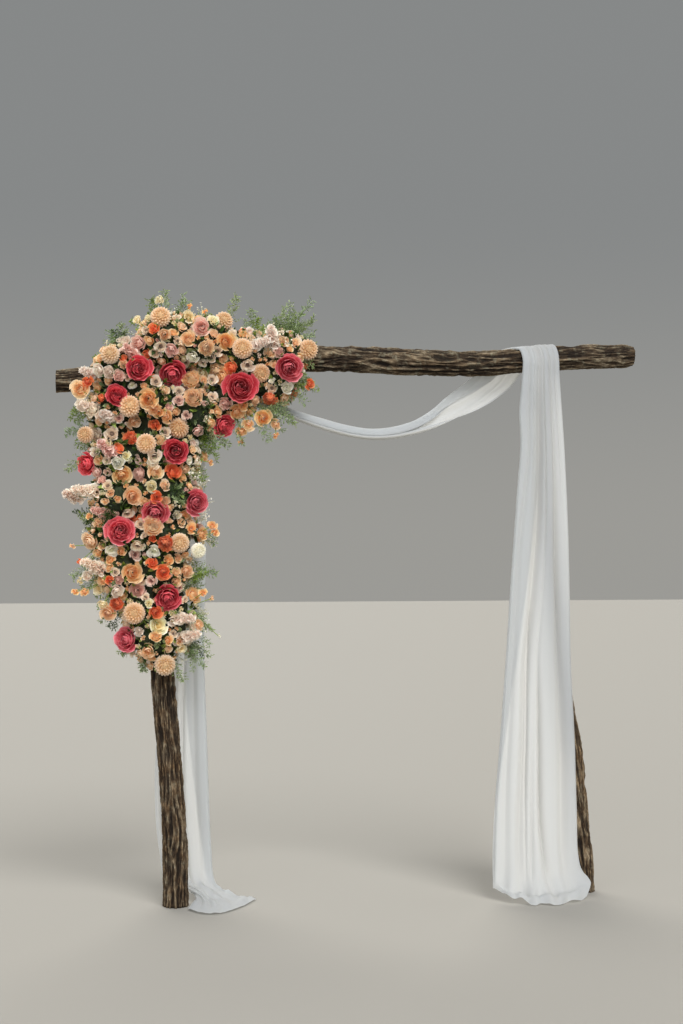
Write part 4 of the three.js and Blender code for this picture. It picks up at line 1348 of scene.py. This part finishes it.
def makeChosenBlooms():
    for kind, colour, x, z, radius in chosen:
        hit, normal, root = seatFromView(x, z)
        root = np.array(longStems.get((x, z), root))
        toEye = unit(eye - hit)
        outlying = np.linalg.norm(hit - root) > seating["outlying"]
        if outlying:
            stemEnds.append((root, hit))
        share = 0.25 if outlying else 0.5
        look = unit(normal * share + toEye * (1 - share) + bloomRandom.normal(0, seating["stray"], 3))
        if kind == "spike":  # leans out to its own side
            look = unit(np.array([look[0] * 1.2 + np.sign(x) * 0.5, look[1] * 0.5, look[2] + 0.3]))
        place = hit + normal * radius * seating["spikeLift" if kind == "spike" else "lift"]
        addBloom(kind, colour, place, look, radius * seating["grown"].get(kind, 1.0))
        if kind == "spike":
            placedBlooms[-1] = (place, radius * seating["spikeRoom"])


def makeFillerBlooms(tries, crowding, mix):  # crowding below 1 lets them overlap
    shares = np.array([row[3] for row in mix])
    shares = shares / shares.sum()
    for place, normal in scatter(bloomRandom, tries):
        leftOut = scattering["thinLeftOut"] if inThinPart(place) else 0.0
        if normal[1] > scattering["back"]:
            leftOut = scattering["backLeftOut"]
        if bloomRandom.random() < leftOut:
            continue
        if place[2] < scattering["bareBelow"] and normal[2] < -0.5:
            continue
        if normal[1] < 0 and any(math.hypot(place[0] - x, place[2] - z) < room for x, z, room in hollows):
            continue
        kind, colour, radius, _ = mix[bloomRandom.choice(len(shares), p=shares)]
        radius *= bloomRandom.uniform(*scattering["sizes"])
        centres = np.array([other for other, _ in placedBlooms])
        sizes = np.array([size for _, size in placedBlooms])
        if (np.linalg.norm(centres - place, axis=1) < crowding * (radius + sizes)).any():
            continue
        look = unit(normal + bloomRandom.normal(0, scattering["stray"], 3) + np.array([0, -0.2, 0.08]))
        if meets(place - normal * 0.01, place + look * radius):
            continue
        addBloom(kind, colour, place - normal * radius * scattering["sunk"], look, radius)


makeNamedBlooms()
makeChosenBlooms()
clearOf = list(placedBlooms)  # blooms that no sprig or fern spray may cover
makeFillerBlooms(*filler["medium"])
makeFillerBlooms(*filler["small"])
for name, parts in bloomSets.items():
    shapeObject(name, joinShapes(parts), petal)
print("blooms placed:", len(placedBlooms))


# Leaves, white sprigs and fern sprays
palette.update({
    "dark": (shade(22, 34, 14), shade(40, 58, 24), shade(58, 80, 36), shade(74, 98, 48)),
    "sage": (shade(74, 92, 58), shade(108, 128, 84), shade(146, 164, 116), shade(168, 182, 136)),
    "fresh": (shade(60, 82, 32), shade(94, 118, 48), shade(128, 150, 68), shade(152, 172, 88)),
})
leaves = {
    "count": 3600,
    "root": 0.022,  # metres under the beds' skin
    "lengths": (0.020, 0.042),
    "greens": {"dark": 0.5, "fresh": 0.28, "sage": 0.22},
    "thinned": 0.6,  # share left out where the lower bed is sparse
}
sprigs = {  # cream: share that is cream; clear: metres kept from a large bloom; lean: how far they stray;
    # root: metres under the skin; reach: metres that have to be free ahead of one
    "bed": {"count": 200, "cream": 0.4, "clear": 0.022, "lean": 0.35, "root": 0.012, "reach": 0.06,
            "size": 0.045, "blooms": 8},
    "edge": {"count": 110, "clear": 0.03, "lean": 0.3, "root": 0.02, "reach": 0.07, "size": 0.055,
             "blooms": 11},
}
ferns = {
    "count": 150,
    "root": 0.03,  # metres under the beds' skin
    "clear": 0.03,  # metres kept from a large bloom
    "reach": 0.06,
    "ahead": 0.07,  # metres that have to be free ahead of one
    "stem": 0.0009,  # radius of a spray's stem
    "points": 12,  # along a stem
    "twigLeaves": 5,
    "mostX": 0.565,  # how far out the tips of the sprays may stand
    "mostZ": 2.42,
}
leafParts, sprigParts, fernParts = [], [], []
leafRandom = np.random.default_rng(19)


def leafShape(length, width, bend, rows=4, columns=3):
    b, a = sheetPlaces(rows, columns)
    half = width / 2 * np.sin(math.pi * np.clip(b, 0.02, 0.98)) ** 0.75
    grid = np.stack([half * a, -bend * b * b + 0.35 * half * np.abs(a), length * b + 0 * a], axis=-1)
    return (grid, b, a, 1.0, 0.5)


def covers(place, room):  # whether something here would lie over a large bloom
    return any(np.linalg.norm(place - other) < size * 1.05 + room for other, size in clearOf)


def addLeaves():
    broadLeaf = gather([leafShape(1.0, 0.52, 0.16)])
    greens, shares = zip(*leaves["greens"].items())
    for place, normal in scatter(leafRandom, leaves["count"]):
        if inThinPart(place) and leafRandom.random() < leaves["thinned"]:
            continue
        away = unit(normal * 0.7 + leafRandom.normal(0, 0.75, 3))
        size = leafRandom.uniform(*leaves["lengths"])
        root = place - normal * leaves["root"]
        if meets(root, root + away * size):
            continue
        part = turned(broadLeaf, root, away, size, leafRandom.uniform(*anySpin))
        part["tint"] = tinted(part, leafRandom.choice(greens, p=shares), leafRandom)
        leafParts.append(part)


def tube(points, radius, sides=4):
    points = np.asarray(points)
    forward = unit(np.gradient(points, axis=0))
    right = unit(np.cross(forward, np.array([0.3, 0.9, 0.2])))
    above = np.cross(right, forward)
    angle = np.linspace(0, fullTurn, sides + 1)[None, :, None]
    grid = points[:, None] + radius * (right[:, None] * np.cos(angle) + above[:, None] * np.sin(angle))
    return (grid, np.linspace(0, 1, len(points))[:, None], 0.0, 0.6, 0.5)


def fern(root, tip, droop, seed, pairs=16, leaf=0.016, tint="sage"):
    rng = np.random.default_rng(seed)
    root, tip = np.asarray(root, dtype=float), np.asarray(tip, dtype=float)
    t = np.linspace(0, 1, ferns["points"])[:, None]
    last = len(t) - 1
    stem = root + (tip - root) * t + np.array([0, 0, -droop]) * (t * t) + np.array([0, 0, droop * 0.6]) * t
    sheets = [tube(stem, ferns["stem"])]
    axis = unit(np.gradient(stem, axis=0))
    for k in range(pairs):
        f = 0.18 + 0.8 * k / (pairs - 1)  # how far up the stem this pair of twigs is
        i = min(int(f * last), last)
        start = np.array([np.interp(f * last, np.arange(len(t)), stem[:, c]) for c in range(3)])
        for sign in (-1, 1):
            side = unit(np.cross(axis[i], rng.normal(0, 1, 3)))
            twig = unit(axis[i] * 0.75 + side * sign)
            length = leaf * 2.4 * (1.15 - 0.75 * f) * rng.uniform(0.7, 1.2)
            for m in range(ferns["twigLeaves"]):
                at = start + twig * length * ((m + 1) / ferns["twigLeaves"])
                turn = np.cross(twig, axis[i]) * (1 if m % 2 else -1)
                out = unit(twig * 0.6 + turn * 0.8 + rng.normal(0, 0.25, 3))
                wide = unit(np.cross(out, rng.normal(0, 1, 3))) * leaf * 0.13
                long = out * leaf * rng.uniform(0.55, 0.9)
                middle, end = at + long * 0.5, at + long
                grid = np.array([[at - wide * 0.3, at + wide * 0.3], [middle - wide, middle + wide],
                                 [end - wide * 0.1, end + wide * 0.1]])
                along, across = np.array([[0.2], [0.6], [1.0]]), np.array([[-1, 1]])
                sheets.append((grid, along, across, rng.uniform(0.3, 1), rng.uniform()))
    part = gather(sheets)
    part["tint"] = tinted(part, tint, rng)
    return part


def sprig(place, look, seed, size, blooms, colour):  # a stalk with five-petalled florets round its tip
    rng = np.random.default_rng(seed)
    look = unit(np.asarray(look))
    stalk = gather([tube(np.linspace(place, place + look * size, 3), 0.0007, 3)])
    stalk["tint"] = tinted(stalk, "fresh", rng)
    parts = [stalk]
    along, across = np.array([[0.35], [1.0]]), np.array([[-1, 1]])
    for _ in range(blooms):
        aside = unit(rng.normal(0, 1, 3)) * size * 0.36
        at = place + look * size * rng.uniform(0.45, 1.05) + aside
        facing = facingMatrix(unit(look + rng.normal(0, 0.6, 3)), rng.uniform(*anySpin))
        wide = rng.uniform(0.0032, 0.0052)
        sheets = []
        for k in range(5):
            c, n = math.cos(k * fullTurn / 5), math.sin(k * fullTurn / 5)
            lip, side = np.array([c, n, 0.35]), np.array([-n, c, 0])
            local = wide * np.array([[0.2 * side, -0.2 * side], [lip + 0.45 * side, lip - 0.45 * side]])
            sheets.append((local @ facing.T + at, along, across, 1.0, rng.uniform()))
        sheets.append(tube(np.linspace(at, place + look * size * 0.4, 2), 0.0005, 3))
        part = gather(sheets)
        part["tint"] = tinted(part, colour, rng)
        parts.append(part)
    return joinShapes(parts)


def addSprig(place, normal, kind):
    spec = sprigs[kind]
    if covers(place, spec["clear"]):
        return
    colour = "cream" if kind == "bed" and leafRandom.random() >= 1 - spec["cream"] else "white"
    look = normal + leafRandom.normal(0, spec["lean"], 3)
    root = place - normal * spec["root"]
    if meets(root, place + look * spec["reach"]):
        return
    sprigParts.append(sprig(root, look, int(leafRandom.integers(1e6)), spec["size"], spec["blooms"], colour))


def addSprigs():
    for place, normal in scatter(leafRandom, sprigs["bed"]["count"]):
        addSprig(place, normal, "bed")
    centres, normals = skin["centres"], skin["normals"]
    edge = np.flatnonzero((centres[:, 0] > 0.02) & (centres[:, 2] < 1.75) & (normals[:, 1] < 0.2))
    for pick in leafRandom.choice(edge, sprigs["edge"]["count"]):  # the lower bed's right side
        addSprig(centres[pick], normals[pick], "edge")


fernRows = [  # root, tip and droop of the sprays that stand out of the beds
    ((-0.040, -0.080, 2.300), (-0.052, -0.066, 2.440), 0.01),
    ((-0.060, -0.090, 2.300), (-0.100, -0.080, 2.400), 0.01),
    ((0.000, -0.080, 2.300), (0.040, -0.080, 2.400), 0.01),
    ((0.200, -0.080, 2.290), (0.235, -0.070, 2.420), 0.0),
    ((0.270, -0.080, 2.250), (0.300, -0.080, 2.370), 0.01),
    ((0.360, -0.080, 2.250), (0.450, -0.075, 2.400), 0.01),
    ((0.400, -0.080, 2.250), (0.540, -0.070, 2.415), 0.0),
    ((0.400, -0.080, 2.230), (0.545, -0.080, 2.345), 0.01),
    ((0.420, -0.080, 2.220), (0.545, -0.090, 2.285), 0.02),
    ((0.420, -0.100, 2.150), (0.535, -0.110, 2.165), 0.03),
    ((0.420, -0.100, 2.100), (0.530, -0.120, 2.085), 0.03),
    ((0.400, -0.110, 2.060), (0.505, -0.130, 2.010), 0.03),
    ((0.360, -0.110, 2.000), (0.450, -0.130, 1.930), 0.03),
    ((0.300, -0.110, 1.960), (0.360, -0.130, 1.850), 0.02),
    ((0.230, -0.110, 1.960), (0.250, -0.130, 1.840), 0.02),
    ((0.120, -0.110, 1.900), (0.200, -0.130, 1.830), 0.02),
    ((-0.250, -0.090, 2.180), (-0.262, -0.080, 2.275), 0.01),
    ((-0.210, -0.090, 2.210), (-0.215, -0.080, 2.300), 0.01),
    ((-0.340, -0.090, 1.900), (-0.425, -0.100, 1.875), 0.02),
    ((-0.330, -0.090, 1.780), (-0.425, -0.100, 1.735), 0.02),
    ((-0.300, -0.090, 1.560), (-0.355, -0.100, 1.535), 0.02),
    ((-0.290, -0.090, 1.390), (-0.400, -0.100, 1.310), 0.01),
    ((-0.290, -0.090, 1.330), (-0.360, -0.100, 1.262), 0.02),
    ((-0.040, -0.080, 1.000), (0.030, -0.092, 0.905), 0.0),
    ((0.020, -0.090, 1.050), (0.110, -0.092, 0.960), 0.01),
    ((0.060, -0.090, 1.180), (0.130, -0.100, 1.105), 0.02),
    ((0.060, -0.090, 1.330), (0.150, -0.100, 1.325), 0.02),
    ((0.080, -0.090, 1.500), (0.150, -0.100, 1.450), 0.02),
    ((-0.180, -0.090, 1.050), (-0.215, -0.095, 1.015), 0.01),
    ((-0.120, -0.090, 1.000), (-0.125, -0.100, 0.945), 0.0),
]
fernFans = [  # middle of the roots and of the tips, spread of the tips, how many sprays, and their greens
    ((0.360, -0.075, 2.215), (0.465, -0.070, 2.325), 0.045, 24, ("sage", "sage", "fresh")),
    ((0.385, -0.100, 2.090), (0.480, -0.115, 2.080), 0.040, 13, ("sage", "sage", "fresh")),
    ((0.310, -0.100, 1.980), (0.390, -0.120, 1.930), 0.045, 9, ("sage", "sage", "fresh")),
    ((0.090, -0.090, 1.880), (0.150, -0.110, 1.800), 0.040, 7, ("sage", "fresh")),
    ((0.040, -0.090, 1.300), (0.095, -0.105, 1.270), 0.040, 5, ("sage", "fresh")),
    ((0.020, -0.090, 1.100), (0.080, -0.100, 1.020), 0.040, 8, ("sage", "dark")),
    ((-0.220, -0.080, 2.180), (-0.240, -0.070, 2.240), 0.030, 6, ("sage", "dark")),
    ((0.030, -0.080, 2.290), (0.060, -0.070, 2.370), 0.060, 7, ("sage", "sage", "fresh")),
    ((-0.270, -0.090, 1.555), (-0.330, -0.100, 1.545), 0.040, 5, ("sage", "dark")),
    ((-0.240, -0.140, 1.570), (-0.280, -0.180, 1.560), 0.028, 4, ("dark", "sage")),
    ((0.010, -0.140, 1.640), (0.000, -0.180, 1.615), 0.035, 5, ("dark", "dark", "sage")),
    ((-0.225, -0.090, 1.150), (-0.262, -0.115, 1.145), 0.018, 3, ("dark", "sage")),
    ((0.080, -0.130, 1.960), (0.100, -0.180, 1.945), 0.035, 5, ("dark", "sage")),
]


def addFernFans():
    for k, (root, tip, spread, count, mixed) in enumerate(fernFans):
        for n in range(count):
            foot = np.array(root) + leafRandom.normal(0, 0.4, 3) * spread * np.array([1, 0.3, 1])
            end = np.array(tip) + leafRandom.normal(0, 1, 3) * spread * np.array([1, 0.35, 1])
            end[0], end[2] = min(end[0], ferns["mostX"]), min(end[2], ferns["mostZ"])
            tint = mixed[leafRandom.integers(len(mixed))]
            if end[1] < -0.13 and covers(end, 0.012):
                continue
            fernParts.append(fern(foot, end, 0.012, 1000 + 50 * k + n, pairs=12, leaf=0.0145, tint=tint))


def addStems():  # sagging stems of the blooms that stand clear of the beds
    for root, end in stemEnds:
        inside = root + (root - end) * 0.25 + np.array([0, 0.02, 0])
        t = np.linspace(0, 1, 8)[:, None]
        sag = np.array([0, 0, -0.12]) * np.linalg.norm(end - inside)
        stem = gather([tube(inside + (end - inside) * t + sag * (t - t * t), 0.0016, 5)])
        stem["tint"] = tinted(stem, "fresh", leafRandom)
        fernParts.append(stem)


def addFerns():
    for k, (root, tip, droop) in enumerate(fernRows):
        fernParts.append(fern(root, tip, droop, 300 + k))
    addFernFans()
    addStems()
    for k, (place, normal) in enumerate(scatter(leafRandom, ferns["count"])):
        if covers(place, ferns["clear"]):
            continue
        look = unit(normal + leafRandom.normal(0, 0.35, 3))
        root = place - normal * ferns["root"]
        if meets(root, place + look * ferns["ahead"]):
            continue
        fernParts.append(fern(root, place + look * ferns["reach"], 0.01, 400 + k, pairs=9, tint="fresh"))


addLeaves()
addSprigs()
addFerns()
sprays = [name for name in cadNodes if name.startswith("spray_")]
shapeObject("leaves", joinShapes(leafParts), leafGreen)
shapeObject("whiteSprigs", joinShapes(sprigParts), petal)
shapeObject("fernSprays", joinShapes(fernParts), leafGreen, sprays)
print("leaves, sprigs and ferns made")
